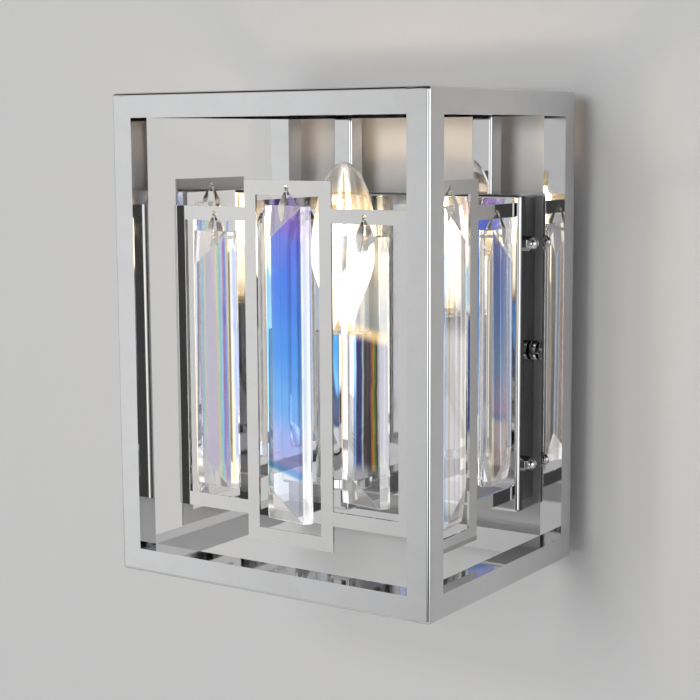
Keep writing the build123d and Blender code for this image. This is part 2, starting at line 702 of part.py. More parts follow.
# ---------------------------------------------------------------- all nodes
def all_parts():
    """Every node by name."""
    skeleton = frame_skeleton()
    parts = {}
    for side_name, side in (("left", -1), ("right", 1)):
        parts["frame_post_front_" + side_name] = frame_post(skeleton, side, post_front_y)
        parts["frame_post_rear_" + side_name] = frame_post(skeleton, side, post_rear_y)
        parts["frame_rail_top_" + side_name] = frame_rail_y(skeleton, side, rail_top_z)
        parts["frame_rail_bottom_" + side_name] = frame_rail_y(skeleton, side, rail_bottom_z)
        parts["stanchion_" + side_name] = stanchion(side)
        parts["cage_" + side_name] = cage_side(side)
    for end_name, y in (("front", post_front_y), ("rear", post_rear_y)):
        parts["frame_rail_top_" + end_name] = frame_rail_x(skeleton, y, rail_top_z)
        parts["frame_rail_bottom_" + end_name] = frame_rail_x(skeleton, y, rail_bottom_z)
    parts["stanchion_screws"] = stanchion_screws()
    parts["canopy"] = canopy()
    parts["wall_bracket"] = wall_bracket()
    parts["canopy_thumbscrews"] = canopy_thumbscrews()
    parts["earth_screw"] = earth_screw()
    parts["cage_front"] = cage_front()
    parts["cage_screws"] = cage_screws()
    parts["cage_spacers"] = cage_spacers()
    parts["domed_nuts"] = domed_nuts()
    for name, hole, turn, length, cut_side in hanging_sets():
        place = Pos(*hole) * Rot(Z=turn)
        parts["crystal_" + name] = place * crystal(length, cut_side)
        parts["bail_" + name] = place * bail()
    parts["lamp_arm"] = lamp_arm()
    parts["lamp_arm_screws"] = lamp_arm_screws()
    parts["lamp_base"] = lamp_base()
    parts["lamp_sleeve"] = lamp_sleeve()
    parts["lamp_nipple"] = lamp_nipple()
    parts["lamp_nut"] = lamp_nut()
    parts["lamp_holder"] = lamp_holder()
    parts["lamp_shell"] = lamp_shell()
    parts["lamp_tongue"] = lamp_tongue()
    parts["bulb_cap"] = bulb_cap()
    parts["bulb_glass"] = bulb_glass()
    parts["bulb_filament"] = bulb_filament()
    parts["terminal_block"] = terminal_block()
    parts["lamp_leads"] = lamp_leads()
    return parts


for node_name, shape in all_parts().items():
    export_step(shape, "parts/" + node_name + ".step")
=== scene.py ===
"""Looks of a crystal wall sconce, dressed around its packed construction.

Metres throughout, in the frame of the construction: the origin is the middle of the wall bracket's back,
+X is to the right, -Y comes out of the wall and +Z is up.
"""
from __future__ import annotations

import logging
import math
from contextlib import contextmanager
from dataclasses import dataclass
from enum import Enum
from typing import Callable, Iterator, Sequence

import bpy
from mathutils import Matrix, Vector


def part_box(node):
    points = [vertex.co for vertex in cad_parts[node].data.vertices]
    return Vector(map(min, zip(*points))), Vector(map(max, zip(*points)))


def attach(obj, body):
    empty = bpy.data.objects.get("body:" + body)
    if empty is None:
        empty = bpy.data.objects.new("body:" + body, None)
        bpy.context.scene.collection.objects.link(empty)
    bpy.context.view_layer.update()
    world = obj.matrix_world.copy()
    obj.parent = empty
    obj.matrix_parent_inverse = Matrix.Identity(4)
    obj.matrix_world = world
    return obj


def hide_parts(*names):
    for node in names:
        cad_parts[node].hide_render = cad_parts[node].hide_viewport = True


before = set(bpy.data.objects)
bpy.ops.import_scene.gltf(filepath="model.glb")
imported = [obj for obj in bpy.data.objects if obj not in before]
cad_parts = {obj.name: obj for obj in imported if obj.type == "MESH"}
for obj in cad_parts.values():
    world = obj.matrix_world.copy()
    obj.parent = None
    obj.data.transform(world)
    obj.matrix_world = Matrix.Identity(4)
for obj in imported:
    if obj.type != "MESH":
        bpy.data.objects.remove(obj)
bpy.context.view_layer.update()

logging.basicConfig(level=logging.INFO, format="%(message)s")
LOG = logging.getLogger("sconce")

MM = 0.001
FULL_TURN = 2 * math.pi
QUARTER = math.pi / 2
SIDES = (-1, 1)
MERGE = 1e-7

Point = tuple[float, float, float]
Colour = tuple[float, float, float]


# ============================================================================ bench: modelling by operators
def deselect_all() -> None:
    """Leaves nothing selected."""
    if bpy.context.mode != "OBJECT":
        bpy.ops.object.mode_set(mode="OBJECT")
    bpy.ops.object.select_all(action="DESELECT")


def take(obj: bpy.types.Object) -> bpy.types.Object:
    """Selects one object alone and makes it active.

    Args:
        obj: the object to work on.

    Returns:
        The same object.
    """
    deselect_all()
    obj.select_set(True)
    bpy.context.view_layer.objects.active = obj
    return obj


@contextmanager
def editing(obj: bpy.types.Object, pick: str = "VERT") -> Iterator[None]:
    """Edit mode on one object, with object mode again at the end.

    Args:
        obj: the mesh object to edit.
        pick: what the selection is made of: VERT, EDGE or FACE.

    Yields:
        Nothing; the block runs in edit mode.
    """
    take(obj)
    bpy.context.tool_settings.mesh_select_mode = [pick == kind for kind in ("VERT", "EDGE", "FACE")]
    bpy.ops.object.mode_set(mode="EDIT")
    try:
        yield
    finally:
        bpy.ops.object.mode_set(mode="OBJECT")


def fresh(name: str) -> bpy.types.Object:
    """Names the object that an operator has just added.

    Args:
        name: the piece's name.

    Returns:
        The active object, renamed.
    """
    obj = bpy.context.object
    obj.name = name
    obj.data.name = name
    return obj


def settle(obj: bpy.types.Object) -> bpy.types.Object:
    """Applies an object's place, turn and size to its mesh.

    Args:
        obj: the object to settle.

    Returns:
        The same object, at the origin.
    """
    take(obj)
    bpy.ops.object.transform_apply(location=True, rotation=True, scale=True)
    return obj


def apply_modifier(obj: bpy.types.Object, kind: str, **settings: object) -> bpy.types.Object:
    """Adds a modifier and applies it.

    Args:
        obj: the mesh object.
        kind: the modifier's type, as Blender names it.
        settings: the modifier's values by name.

    Returns:
        The same object.
    """
    take(obj)
    modifier = obj.modifiers.new(kind.title(), kind)
    for key, value in settings.items():
        setattr(modifier, key, value)
    bpy.ops.object.modifier_apply(modifier=modifier.name)
    return obj


def bevelled(obj: bpy.types.Object, width: float, segments: int = 2, angle: float = 30.0) -> bpy.types.Object:
    """Rounds the edges that turn by more than an angle.

    Args:
        obj: the mesh object.
        width: the bevel's width.
        segments: the faces across it.
        angle: the least turn of an edge, in degrees.

    Returns:
        The same object.
    """
    return apply_modifier(obj, "BEVEL", width=width, segments=segments, limit_method="ANGLE",
                          angle_limit=math.radians(angle))


def smoothed(obj: bpy.types.Object, angle: float = 35.0) -> bpy.types.Object:
    """Shades smooth across edges that turn by less than an angle.

    Args:
        obj: the mesh object.
        angle: the greatest turn that stays smooth, in degrees.

    Returns:
        The same object.
    """
    take(obj)
    bpy.ops.object.shade_smooth_by_angle(angle=math.radians(angle))
    return obj


def select_where(obj: bpy.types.Object, test: Callable[[Vector], bool]) -> None:
    """Selects the faces whose normal passes a test. Called in object mode.

    Args:
        obj: the mesh object.
        test: takes a face's normal and says whether the face is wanted.
    """
    with editing(obj):
        bpy.ops.mesh.select_all(action="DESELECT")
    for face in obj.data.polygons:
        face.select = test(face.normal)


def joined(name: str, pieces: Sequence[bpy.types.Object]) -> bpy.types.Object:
    """Joins several meshes into one object.

    Args:
        name: the joined piece's name.
        pieces: the objects to join; the first one takes the rest.

    Returns:
        The joined object.
    """
    deselect_all()
    for piece in pieces:
        piece.select_set(True)
    bpy.context.view_layer.objects.active = pieces[0]
    if len(pieces) > 1:
        bpy.ops.object.join()
    return fresh(name)


def copied(obj: bpy.types.Object, name: str) -> bpy.types.Object:
    """Copies an object with a mesh of its own.

    Args:
        obj: the object to copy.
        name: the copy's name.

    Returns:
        The copy.
    """
    take(obj)
    bpy.ops.object.duplicate()
    return fresh(name)


class Patterns:
    """Pieces that repeat, each modelled once at the origin and then copied."""

    def __init__(self) -> None:
        """Starts with no pattern."""
        self.kept: dict[object, bpy.types.Object] = {}

    def copy(self, key: object, make: Callable[[], bpy.types.Object], name: str) -> bpy.types.Object:
        """Copies a pattern, which is modelled the first time it is asked for.

        Args:
            key: what tells this pattern from the others.
            make: models the pattern.
            name: the copy's name.

        Returns:
            The copy, with its own mesh.
        """
        if key not in self.kept:
            self.kept[key] = make()
        return copied(self.kept[key], name)

    def clear(self) -> None:
        """Takes the patterns out of the scene."""
        for obj in self.kept.values():
            bpy.data.objects.remove(obj)
        self.kept.clear()


def moved(obj: bpy.types.Object, to: Vector, turn_z: float = 0.0, turn_y: float = 0.0,
          turn_x: float = 0.0) -> bpy.types.Object:
    """Turns and moves a finished mesh that was made at the origin.

    Args:
        obj: the object.
        to: where its origin goes.
        turn_z: the turn about Z, in radians, made last.
        turn_y: the turn about Y, made second.
        turn_x: the turn about X, made first.

    Returns:
        The same object, settled.
    """
    obj.rotation_euler = (turn_x, turn_y, turn_z)
    obj.location = to
    return settle(obj)


def turned(name: str, profile: Sequence[tuple[float, float]], steps: int = 48,
           closed: bool = False) -> bpy.types.Object:
    """Turns a profile about Z on the origin.

    Args:
        name: the piece's name.
        profile: (radius, height) points, in order.
        steps: the faces round it.
        closed: whether the profile's last point joins its first, as in a tube's wall.

    Returns:
        The turned piece, with its normals outwards.
    """
    deselect_all()
    bpy.ops.mesh.primitive_plane_add(size=MM)
    obj = fresh(name)
    points = [Vector((radius, 0.0, height)) for radius, height in profile]
    if closed:
        points.append(points[0].copy())
    with editing(obj):
        bpy.ops.mesh.select_all(action="SELECT")
        bpy.ops.mesh.merge(type="CENTER")
        bpy.ops.transform.translate(value=points[0])
        for start, end in zip(points, points[1:]):
            bpy.ops.mesh.extrude_vertices_move(TRANSFORM_OT_translate={"value": end - start})
        bpy.ops.mesh.select_all(action="SELECT")
        bpy.ops.mesh.spin(steps=steps, angle=FULL_TURN, center=(0, 0, 0), axis=(0, 0, 1))
        bpy.ops.mesh.select_all(action="SELECT")
        bpy.ops.mesh.remove_doubles(threshold=MERGE * 10)
        bpy.ops.mesh.normals_make_consistent(inside=False)
    return obj


def block(name: str, low: Point, high: Point) -> bpy.types.Object:
    """A cube primitive between two corners, as the start of a piece.

    Args:
        name: the piece's name.
        low: the lowest corner.
        high: the highest corner.

    Returns:
        The object, settled.
    """
    deselect_all()
    middle = [(a + b) / 2 for a, b in zip(low, high)]
    bpy.ops.mesh.primitive_cube_add(size=1, location=middle)
    obj = fresh(name)
    obj.scale = [b - a for a, b in zip(low, high)]
    return settle(obj)


def combined(obj: bpy.types.Object, other: bpy.types.Object, operation: str) -> bpy.types.Object:
    """Adds, cuts or intersects another mesh, which is used up.

    Args:
        obj: the mesh object that stays.
        other: the mesh object to combine with it.
        operation: UNION, DIFFERENCE or INTERSECT.

    Returns:
        The first object.
    """
    apply_modifier(obj, "BOOLEAN", operation=operation, solver="EXACT", object=other)
    bpy.data.objects.remove(other)
    return obj


def sliced(obj: bpy.types.Object, at: Vector, outward: Vector) -> None:
    """Cuts off what lies past a plane and closes the cut.

    Args:
        obj: the mesh object.
        at: a point on the plane.
        outward: the plane's normal, towards what is cut off.
    """
    with editing(obj):
        bpy.ops.mesh.select_all(action="SELECT")
        bpy.ops.mesh.bisect(plane_co=at, plane_no=outward, use_fill=True, clear_outer=True)


def bar_between(name: str, radius: float, start: Vector, end: Vector, sides: int = 24) -> bpy.types.Object:
    """A round bar between two points, its place and turn not applied yet.

    Args:
        name: the object's name.
        radius: the bar's radius.
        start: one end.
        end: the other end.
        sides: the faces round it.

    Returns:
        The bar.
    """
    along = end - start
    deselect_all()
    bpy.ops.mesh.primitive_cylinder_add(vertices=sides, radius=radius, depth=along.length,
                                        location=(start + end) / 2,
                                        rotation=along.to_track_quat("Z", "Y").to_euler())
    return fresh(name)


def rod_between(name: str, radius: float, start: Vector, end: Vector, sides: int = 24,
                round_ends: float = 0.0) -> bpy.types.Object:
    """A settled rod between two points, its ends bevelled by round_ends if that is given."""
    rod = settle(bar_between(name, radius, start, end, sides))
    return bevelled(rod, round_ends, 3, 60) if round_ends else rod


def bored(obj: bpy.types.Object, radius: float, start: Vector, end: Vector) -> bpy.types.Object:
    """Drills a round hole between two points of an object, and returns the object."""
    return combined(obj, bar_between("drill", radius, start, end), "DIFFERENCE")


def thread(radius: float, depth: float, pitch: float, start: float, length: float) -> list[tuple[float, float]]:
    """The profile of a screw's shank with ridges, from its seat at zero down to its tip.

    Args:
        radius: the ridges' radius.
        depth: how deep the grooves are.
        pitch: the height of a ridge.
        start: how far below the seat the first ridge is.
        length: the shank's length.

    Returns:
        (radius, height) points, downwards.
    """
    ridges = int((length - start - 0.6 * MM) / pitch)
    points = [(radius, 0.0)]
    for index in range(ridges):
        points += [(radius, -start - index * pitch), (radius - depth, -start - (index + 0.5) * pitch)]
    return points + [(radius, -start - ridges * pitch), (radius - depth, -length), (0.0, -length)]


def measured(node: str) -> tuple[Vector, Vector, Vector]:
    """A node's lowest and highest corners and its middle."""
    low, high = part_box(node)
    return low, high, (low + high) / 2


# ============================================================================ paint shop: shader graphs
class Graph:
    """A material's or group's node tree, with short calls to add and join nodes."""

    def __init__(self, tree: bpy.types.NodeTree) -> None:
        """Starts from an empty tree."""
        self.tree = tree
        tree.nodes.clear()

    def add(self, kind: str, inputs: dict[str | int, object] | None = None, **settings: object) -> bpy.types.Node:
        """Adds a node, sets its properties, and sets or links its inputs.

        Args:
            kind: the node's type.
            inputs: socket values, or sockets to link from, by input name or number.
            settings: the node's own properties.

        Returns:
            The node.
        """
        node = self.tree.nodes.new(kind)
        for key, value in settings.items():
            setattr(node, key, value)
        for key, value in (inputs or {}).items():
            if isinstance(value, bpy.types.NodeSocket):
                self.tree.links.new(value, node.inputs[key])
            else:
                node.inputs[key].default_value = value
        return node

    def math(self, operation: str, *values: object) -> bpy.types.NodeSocket:
        """A Math node's result."""
        return self.add("ShaderNodeMath", dict(enumerate(values)), operation=operation).outputs[0]

    def vector_math(self, operation: str, *values: object) -> bpy.types.NodeSocket:
        """A Vector Math node's first result."""
        return self.add("ShaderNodeVectorMath", dict(enumerate(values)), operation=operation).outputs[0]

    def spread(self, value: object, from_low: float, from_high: float, to_low: float = 0.0,
               to_high: float = 1.0) -> bpy.types.NodeSocket:
        """A clamped Map Range result."""
        inputs = {"Value": value, "From Min": from_low, "From Max": from_high, "To Min": to_low, "To Max": to_high}
        return self.add("ShaderNodeMapRange", inputs).outputs["Result"]

    def blend(self, factor: object, first: object, second: object, mode: str = "MIX") -> bpy.types.NodeSocket:
        """A colour Mix node's result."""
        node = self.add("ShaderNodeMix", data_type="RGBA", blend_type=mode)
        for number, value in ((0, factor), (6, first), (7, second)):
            if isinstance(value, bpy.types.NodeSocket):
                self.tree.links.new(value, node.inputs[number])
            else:
                node.inputs[number].default_value = value
        return node.outputs[2]

    def ramp(self, value: bpy.types.NodeSocket, stops: Sequence[tuple[float, Colour]],
             interpolation: str = "LINEAR") -> bpy.types.NodeSocket:
        """A Colour Ramp's result for (place, colour) stops."""
        node = self.add("ShaderNodeValToRGB", {0: value})
        elements = node.color_ramp.elements
        node.color_ramp.interpolation = interpolation
        while len(elements) < len(stops):
            elements.new(1.0)
        for element, (place, colour) in zip(elements, stops):
            element.position = place
            element.color = (*colour, 1.0)
        return node.outputs[0]

    def group(self, group: bpy.types.NodeTree, inputs: dict[str, object]) -> bpy.types.Node:
        """Places a node group."""
        return self.add("ShaderNodeGroup", inputs, node_tree=group)

    def bump(self, height: bpy.types.NodeSocket, strength: float, distance: float) -> bpy.types.NodeSocket:
        """A Bump node's normal."""
        return self.add("ShaderNodeBump", {"Strength": strength, "Distance": distance, "Height": height}).outputs[0]

    def object_point(self, middle: Point = (0, 0, 0), turn_z: float = 0.0) -> bpy.types.NodeSocket:
        """Object coordinates, centred and turned on a piece.

        Args:
            middle: the point that becomes zero.
            turn_z: the turn about Z that brings the piece's own axes round, in radians.

        Returns:
            The coordinates' socket.
        """
        coordinates = self.add("ShaderNodeTexCoord").outputs["Object"]
        centred = self.vector_math("SUBTRACT", coordinates, middle)
        return self.add("ShaderNodeMapping", {"Vector": centred, "Rotation": (0, 0, turn_z)}).outputs[0]


def new_material(name: str) -> tuple[bpy.types.Material, Graph]:
    """A new material and its empty graph."""
    material = bpy.data.materials.new(name)
    material.use_nodes = True
    return material, Graph(material.node_tree)


def new_group(name: str, inputs: Sequence[tuple[str, str, object]],
              outputs: Sequence[tuple[str, str]]) -> tuple[Graph, bpy.types.Node, bpy.types.Node]:
    """A new shader node group.

    Args:
        name: the group's name.
        inputs: (name, socket type, default) of each input.
        outputs: (name, socket type) of each output.

    Returns:
        Its graph, its input node and its output node.
    """
    tree = bpy.data.node_groups.new(name, "ShaderNodeTree")
    for label, kind, default in inputs:
        socket = tree.interface.new_socket(label, in_out="INPUT", socket_type=kind)
        if default is not None:
            socket.default_value = default
    for label, kind in outputs:
        tree.interface.new_socket(label, in_out="OUTPUT", socket_type=kind)
    graph = Graph(tree)
    return graph, graph.add("NodeGroupInput"), graph.add("NodeGroupOutput")


def handling_marks() -> bpy.types.NodeTree:
    """Faint wiping marks and fine hairlines of a polished surface.

    Returns:
        A group with Vector, Scale and Amount in, and Mask (0 to 1) and Height out.
    """
    graph, given, result = new_group(
        "handling_marks",
        [("Vector", "NodeSocketVector", None), ("Scale", "NodeSocketFloat", 60.0),
         ("Amount", "NodeSocketFloat", 1.0)],
        [("Mask", "NodeSocketFloat"), ("Height", "NodeSocketFloat")])
    cloudy = graph.add("ShaderNodeTexNoise", {"Vector": given.outputs["Vector"], "Scale": given.outputs["Scale"],
                                             "Detail": 4.0, "Roughness": 0.6, "Distortion": 0.8})
    stretched = graph.add("ShaderNodeMapping", {"Vector": given.outputs["Vector"], "Rotation": (0.3, 0.5, 0.2),
                                               "Scale": (2600.0, 240.0, 380.0)})
    hairs = graph.add("ShaderNodeTexNoise", {"Vector": stretched.outputs[0], "Scale": 1.0, "Detail": 2.0})
    patches = graph.spread(cloudy.outputs[0], 0.42, 0.72)
    lines = graph.spread(hairs.outputs[0], 0.62, 0.78)
    mask = graph.math("MULTIPLY", graph.math("ADD", patches, graph.math("MULTIPLY", lines, 0.4)),
                      given.outputs["Amount"])
    graph.tree.links.new(mask, result.inputs["Mask"])
    height = graph.math("MULTIPLY", graph.math("ADD", lines, cloudy.outputs[0]), given.outputs["Amount"])
    graph.tree.links.new(height, result.inputs["Height"])
    return graph.tree


def painted_light_streaks() -> bpy.types.NodeTree:
    """Long soft streaks that break up the light painted on a cut crystal and bend it a little.

    Returns:
        A group with Vector and Density in, and Mask (0 to 1) and Bend (about zero) out.
    """
    graph, given, result = new_group(
        "painted_light_streaks",
        [("Vector", "NodeSocketVector", None), ("Density", "NodeSocketFloat", 1.0)],
        [("Mask", "NodeSocketFloat"), ("Bend", "NodeSocketFloat")])
    stretched = graph.add("ShaderNodeMapping", {"Vector": given.outputs["Vector"], "Scale": (520.0, 260.0, 24.0)})
    fine = graph.add("ShaderNodeTexNoise", {"Vector": stretched.outputs[0], "Scale": given.outputs["Density"],
                                           "Detail": 3.0, "Distortion": 0.4})
    slow = graph.add("ShaderNodeTexNoise", {"Vector": given.outputs["Vector"], "Scale": 22.0, "Detail": 2.0,
                                           "Distortion": 1.5})
    mask = graph.math("MULTIPLY", graph.spread(fine.outputs[0], 0.32, 0.60),
                      graph.spread(slow.outputs[0], 0.36, 0.58))
    graph.tree.links.new(mask, result.inputs["Mask"])
    graph.tree.links.new(graph.math("SUBTRACT", slow.outputs[0], 0.5), result.inputs["Bend"])
    return graph.tree


class Shared:
    """Node groups that several finishes use, made once."""

    marks: bpy.types.NodeTree
    streaks: bpy.types.NodeTree

    @classmethod
    def make(cls) -> None:
        """Makes the groups."""
        cls.marks = handling_marks()
        cls.streaks = painted_light_streaks()


# ============================================================================ finishes
@dataclass(frozen=True)
class Finish:
    """A finish of one Principled shader, whose inputs each kind works out."""

    name: str

    def inputs(self, graph: Graph) -> dict[str, object]:
        """The shader's inputs, as each kind gives them."""
        raise NotImplementedError

    def make(self) -> bpy.types.Material:
        """Makes the material."""
        material, graph = new_material(self.name)
        shader = graph.add("ShaderNodeBsdfPrincipled", self.inputs(graph))
        graph.add("ShaderNodeOutputMaterial", {"Surface": shader.outputs[0]})
        return material


@dataclass(frozen=True)
class PolishedMetal(Finish):
    """A bright metal with wiping marks: chrome, nickel, zinc plate or brass, by its colour and roughness."""

    colour: Colour
    roughness: float
    mark_scale: float = 55.0
    mark_amount: float = 1.0
    mark_roughness: float = 0.05
    bump: float = 0.02
    dulling: float = 0.04

    def inputs(self, graph: Graph) -> dict[str, object]:
        """Colour, roughness and bump from the wiping marks.

        Args:
            graph: the material's graph.

        Returns:
            The shader's inputs.
        """
        marks = graph.group(Shared.marks, {"Vector": graph.object_point(), "Scale": self.mark_scale,
                                           "Amount": self.mark_amount})
        dull = tuple(channel * (1 - self.dulling) for channel in self.colour)
        rough = graph.spread(marks.outputs["Mask"], 0.0, 1.0, self.roughness, self.roughness + self.mark_roughness)
        return {"Base Color": graph.blend(marks.outputs["Mask"], (*self.colour, 1), (*dull, 1)), "Metallic": 1.0,
                "Roughness": rough, "Normal": graph.bump(marks.outputs["Height"], self.bump, 0.05 * MM)}


CLEAR: Colour = (0.985, 0.985, 0.99)
Stops = tuple[tuple[float, Colour], ...]


@dataclass(frozen=True)
class Spectrum:
    """The colours that one cut crystal splits its light into, painted on it as ramps over its width and its length,
    and as glow.
    """

    across: Stops
    across_strength: float = 0.8
    across_from: float = 0.0
    across_to: float = 1.0
    slant: float = 0.03
    broken: float = 0.6
    along: Stops = ((0.0, CLEAR), (1.0, CLEAR))
    along_strength: float = 0.0
    # glow scales the glow painted on the crystal; lit is a painted glow of the bulb's light along its length
    glow: float = 0.10
    lit: Stops = ((0.0, (0.0, 0.0, 0.0)), (1.0, (0.0, 0.0, 0.0)))


@dataclass(frozen=True)
class CutCrystal(Finish):
    """Clear lead crystal with its spectrum painted on its faces as tint and glow, and a painted grey reflection on
    its corner facets.
    """

    middle: Point
    turn: float
    half_size: Point
    facets: tuple[tuple[Point, Point], ...]
    spectrum: Spectrum
    # Painted reflection on the corner facets: a grey tint and a grey glow
    facet_painted_reflection: Colour = (0.66, 0.655, 0.64)
    facet_painted_glow: Colour = (0.20, 0.195, 0.185)
    index: float = 1.55

    def facet_mask(self, graph: Graph, point: bpy.types.NodeSocket) -> bpy.types.NodeSocket:
        """Where the corner facets are: within a hair of either facet's plane.

        Args:
            graph: the material's graph.
            point: the crystal's own coordinates.

        Returns:
            A mask's socket.
        """
        masks = []
        for on_plane, normal in self.facets:
            away = graph.vector_math("SUBTRACT", point, on_plane)
            distance = graph.add("ShaderNodeVectorMath", {0: away, 1: normal}, operation="DOT_PRODUCT")
            masks.append(graph.math("GREATER_THAN", distance.outputs["Value"], -0.12 * MM))
        return graph.math("MAXIMUM", masks[0], masks[1])

    def inputs(self, graph: Graph) -> dict[str, object]:
        """Paints the spectrum on the crystal as tint and glow: ramps over its width and length, broken by streaks.

        The shader takes a colour's square root at each face that light passes, so the painted tint is squared.

        Args:
            graph: the material's graph.

        Returns:
            The shader's inputs.
        """
        look = self.spectrum
        point = graph.object_point(self.middle, -self.turn)
        parts = graph.add("ShaderNodeSeparateXYZ", {0: point})
        half_width, _, half_length = self.half_size
        # grain here is the streak mask that breaks up the painted light, not a grain of the glass
        grain = graph.group(Shared.streaks, {"Vector": point, "Density": 1.0})
        height = graph.spread(parts.outputs["Z"], -half_length, half_length)
        across = graph.spread(parts.outputs["X"], -half_width, half_width)
        lean = graph.math("MULTIPLY", graph.math("SUBTRACT", height, 0.5), look.slant)
        bent = graph.math("ADD", graph.math("ADD", across, lean), graph.math("MULTIPLY", grain.outputs["Bend"], 0.06))
        # Painted light: the crystal's dispersion colours and dark reflections, laid on its front half as a tint
        streaks = graph.ramp(bent, look.across, "EASE")
        fade_in = graph.spread(height, look.across_from, look.across_from + 0.05)
        fade_out = graph.spread(height, look.across_to, look.across_to - 0.05)
        broken = graph.spread(grain.outputs["Mask"], 0.0, 1.0, 1.0 - look.broken, 1.0)
        front = graph.math("LESS_THAN", parts.outputs["Y"], -0.2 * MM)
        fade = graph.math("MULTIPLY", graph.math("MULTIPLY", fade_in, fade_out), front)
        shown = graph.math("MULTIPLY", fade, graph.math("MULTIPLY", broken, look.across_strength))
        painted_tint = graph.blend(shown, (*CLEAR, 1), streaks)
        aside = graph.math("ABSOLUTE", parts.outputs["X"])
        face = graph.spread(aside, half_width * 0.76, half_width * 0.80, 1.0, 0.0)
        leaning = graph.math("ADD", height, graph.math("MULTIPLY", graph.math("SUBTRACT", across, 0.5), 0.05))
        # Painted light: a second spectrum along the length, on the main faces
        painted_length_light = graph.ramp(leaning, look.along, "EASE")
        painted_length_share = graph.math("MULTIPLY", face, graph.spread(grain.outputs["Bend"], -0.2, 0.2,
                                                           look.along_strength * 0.85, look.along_strength))
        painted_tint = graph.blend(painted_length_share, painted_tint, painted_length_light, "MULTIPLY")
        facet = self.facet_mask(graph, point)
        # Painted reflection: the corner facets take a still grey tint
        painted_tint = graph.blend(facet, painted_tint, (*self.facet_painted_reflection, 1))
        painted_tint = graph.blend(1.0, painted_tint, painted_tint, "MULTIPLY")
        strongest = graph.math("MAXIMUM", shown, painted_length_share)
        # Painted glow: the crystal gives off the painted spectrum and the bulb's light as emission, though it is no
        # lamp
        light = graph.blend(strongest, (0, 0, 0, 1), painted_tint)
        light = graph.blend(1.0, light, (look.glow, look.glow, look.glow, 1), "MULTIPLY")
        light = graph.blend(front, light, graph.ramp(leaning, look.lit, "EASE"), "ADD")
        # Painted reflection glow on the corner facets
        light = graph.blend(facet, light, (*self.facet_painted_glow, 1))
        return {"Base Color": painted_tint, "Roughness": 0.0, "IOR": self.index, "Transmission Weight": 1.0,
                "Emission Color": light, "Emission Strength": 1.0}


@dataclass(frozen=True)
class ClearGlass(Finish):
    """Thin clear glass, with the bloom of the lit rods on it between two heights."""

    colour: Colour
    bloom: Stops = ((0.0, (0.0, 0.0, 0.0)), (1.0, (0.0, 0.0, 0.0)))
    bloom_low: float = 0.0
    bloom_high: float = 1.0
    bloom_strength: float = 0.0

    def inputs(self, graph: Graph) -> dict[str, object]:
        """A rippled clear wall, and the bloom by its height.

        Args:
            graph: the material's graph.

        Returns:
            The shader's inputs.
        """
        point = graph.object_point()
        ripple = graph.add("ShaderNodeTexNoise", {"Vector": point, "Scale": 90.0, "Detail": 1.0}).outputs[0]
        tone = graph.blend(graph.spread(ripple, 0.3, 0.7), (*self.colour, 1), (1, 1, 1, 1))
        parts = graph.add("ShaderNodeSeparateXYZ", {0: point})
        height = graph.spread(parts.outputs["Z"], self.bloom_low, self.bloom_high)
        uneven = graph.math("ADD", height, graph.math("MULTIPLY", graph.math("SUBTRACT", ripple, 0.5), 0.1))
        return {"Base Color": tone, "Roughness": 0.0, "IOR": 1.5, "Transmission Weight": 1.0,
                "Normal": graph.bump(ripple, 0.03, 0.2 * MM),
                "Emission Color": graph.ramp(uneven, self.bloom, "EASE"), "Emission Strength": self.bloom_strength}


@dataclass(frozen=True)
class Glow(Finish):
    """A lit filament rod."""

    colour: Colour
    strength: float

    def inputs(self, graph: Graph) -> dict[str, object]:
        """A grainy glow.

        Args:
            graph: the material's graph.

        Returns:
            The shader's inputs.
        """
        grain = graph.add("ShaderNodeTexNoise", {"Vector": graph.object_point(), "Scale": 900.0, "Detail": 1.0})
        hot = tuple(min(1.0, channel * 1.2) for channel in self.colour)
        colour = graph.blend(grain.outputs[0], (*self.colour, 1), (*hot, 1))
        return {"Base Color": colour, "Roughness": 0.4, "Emission Color": colour, "Emission Strength": self.strength}


@dataclass(frozen=True)
class Moulded(Finish):
    """Moulded plastic or glazed ceramic with a fine skin texture."""

    colour: Colour
    roughness: float
    grain_scale: float = 900.0
    bump: float = 0.15

    def inputs(self, graph: Graph) -> dict[str, object]:
        """A broad change of tone and a fine grain.

        Args:
            graph: the material's graph.

        Returns:
            The shader's inputs.
        """
        point = graph.object_point()
        grain, broad = [graph.add("ShaderNodeTexNoise", {"Vector": point, "Scale": scale, "Detail": detail})
                        .outputs[0] for scale, detail in ((self.grain_scale, 3.0), (60.0, 2.0))]
        darker = tuple(channel * 0.88 for channel in self.colour)
        return {"Base Color": graph.blend(graph.spread(broad, 0.35, 0.65), (*self.colour, 1), (*darker, 1)),
                "Roughness": graph.spread(grain, 0.3, 0.7, self.roughness - 0.06, self.roughness + 0.06),
                "Normal": graph.bump(grain, self.bump, 0.05 * MM)}


@dataclass(frozen=True)
class WovenSleeve(Finish):
    """Heat-proof woven sleeving of the lamp's leads."""

    colour: Colour

    def inputs(self, graph: Graph) -> dict[str, object]:
        """Two crossing waves as the weave, with painted shade darkening its hollows.

        Args:
            graph: the material's graph.

        Returns:
            The shader's inputs.
        """
        point = graph.object_point()
        weave = [graph.add("ShaderNodeTexWave", {"Vector": point, "Scale": 420.0, "Distortion": 0.4},
                           bands_direction=direction).outputs[1] for direction in ("DIAGONAL", "Z")]
        height = graph.math("MULTIPLY", weave[0], weave[1])
        # The weave's pattern, with painted shade in its hollows: darker where the weave's height is low
        darker = tuple(channel * 0.6 for channel in self.colour)
        return {"Base Color": graph.blend(height, (*darker, 1), (*self.colour, 1)), "Roughness": 0.75,
                "Normal": graph.bump(height, 0.5, 0.1 * MM)}


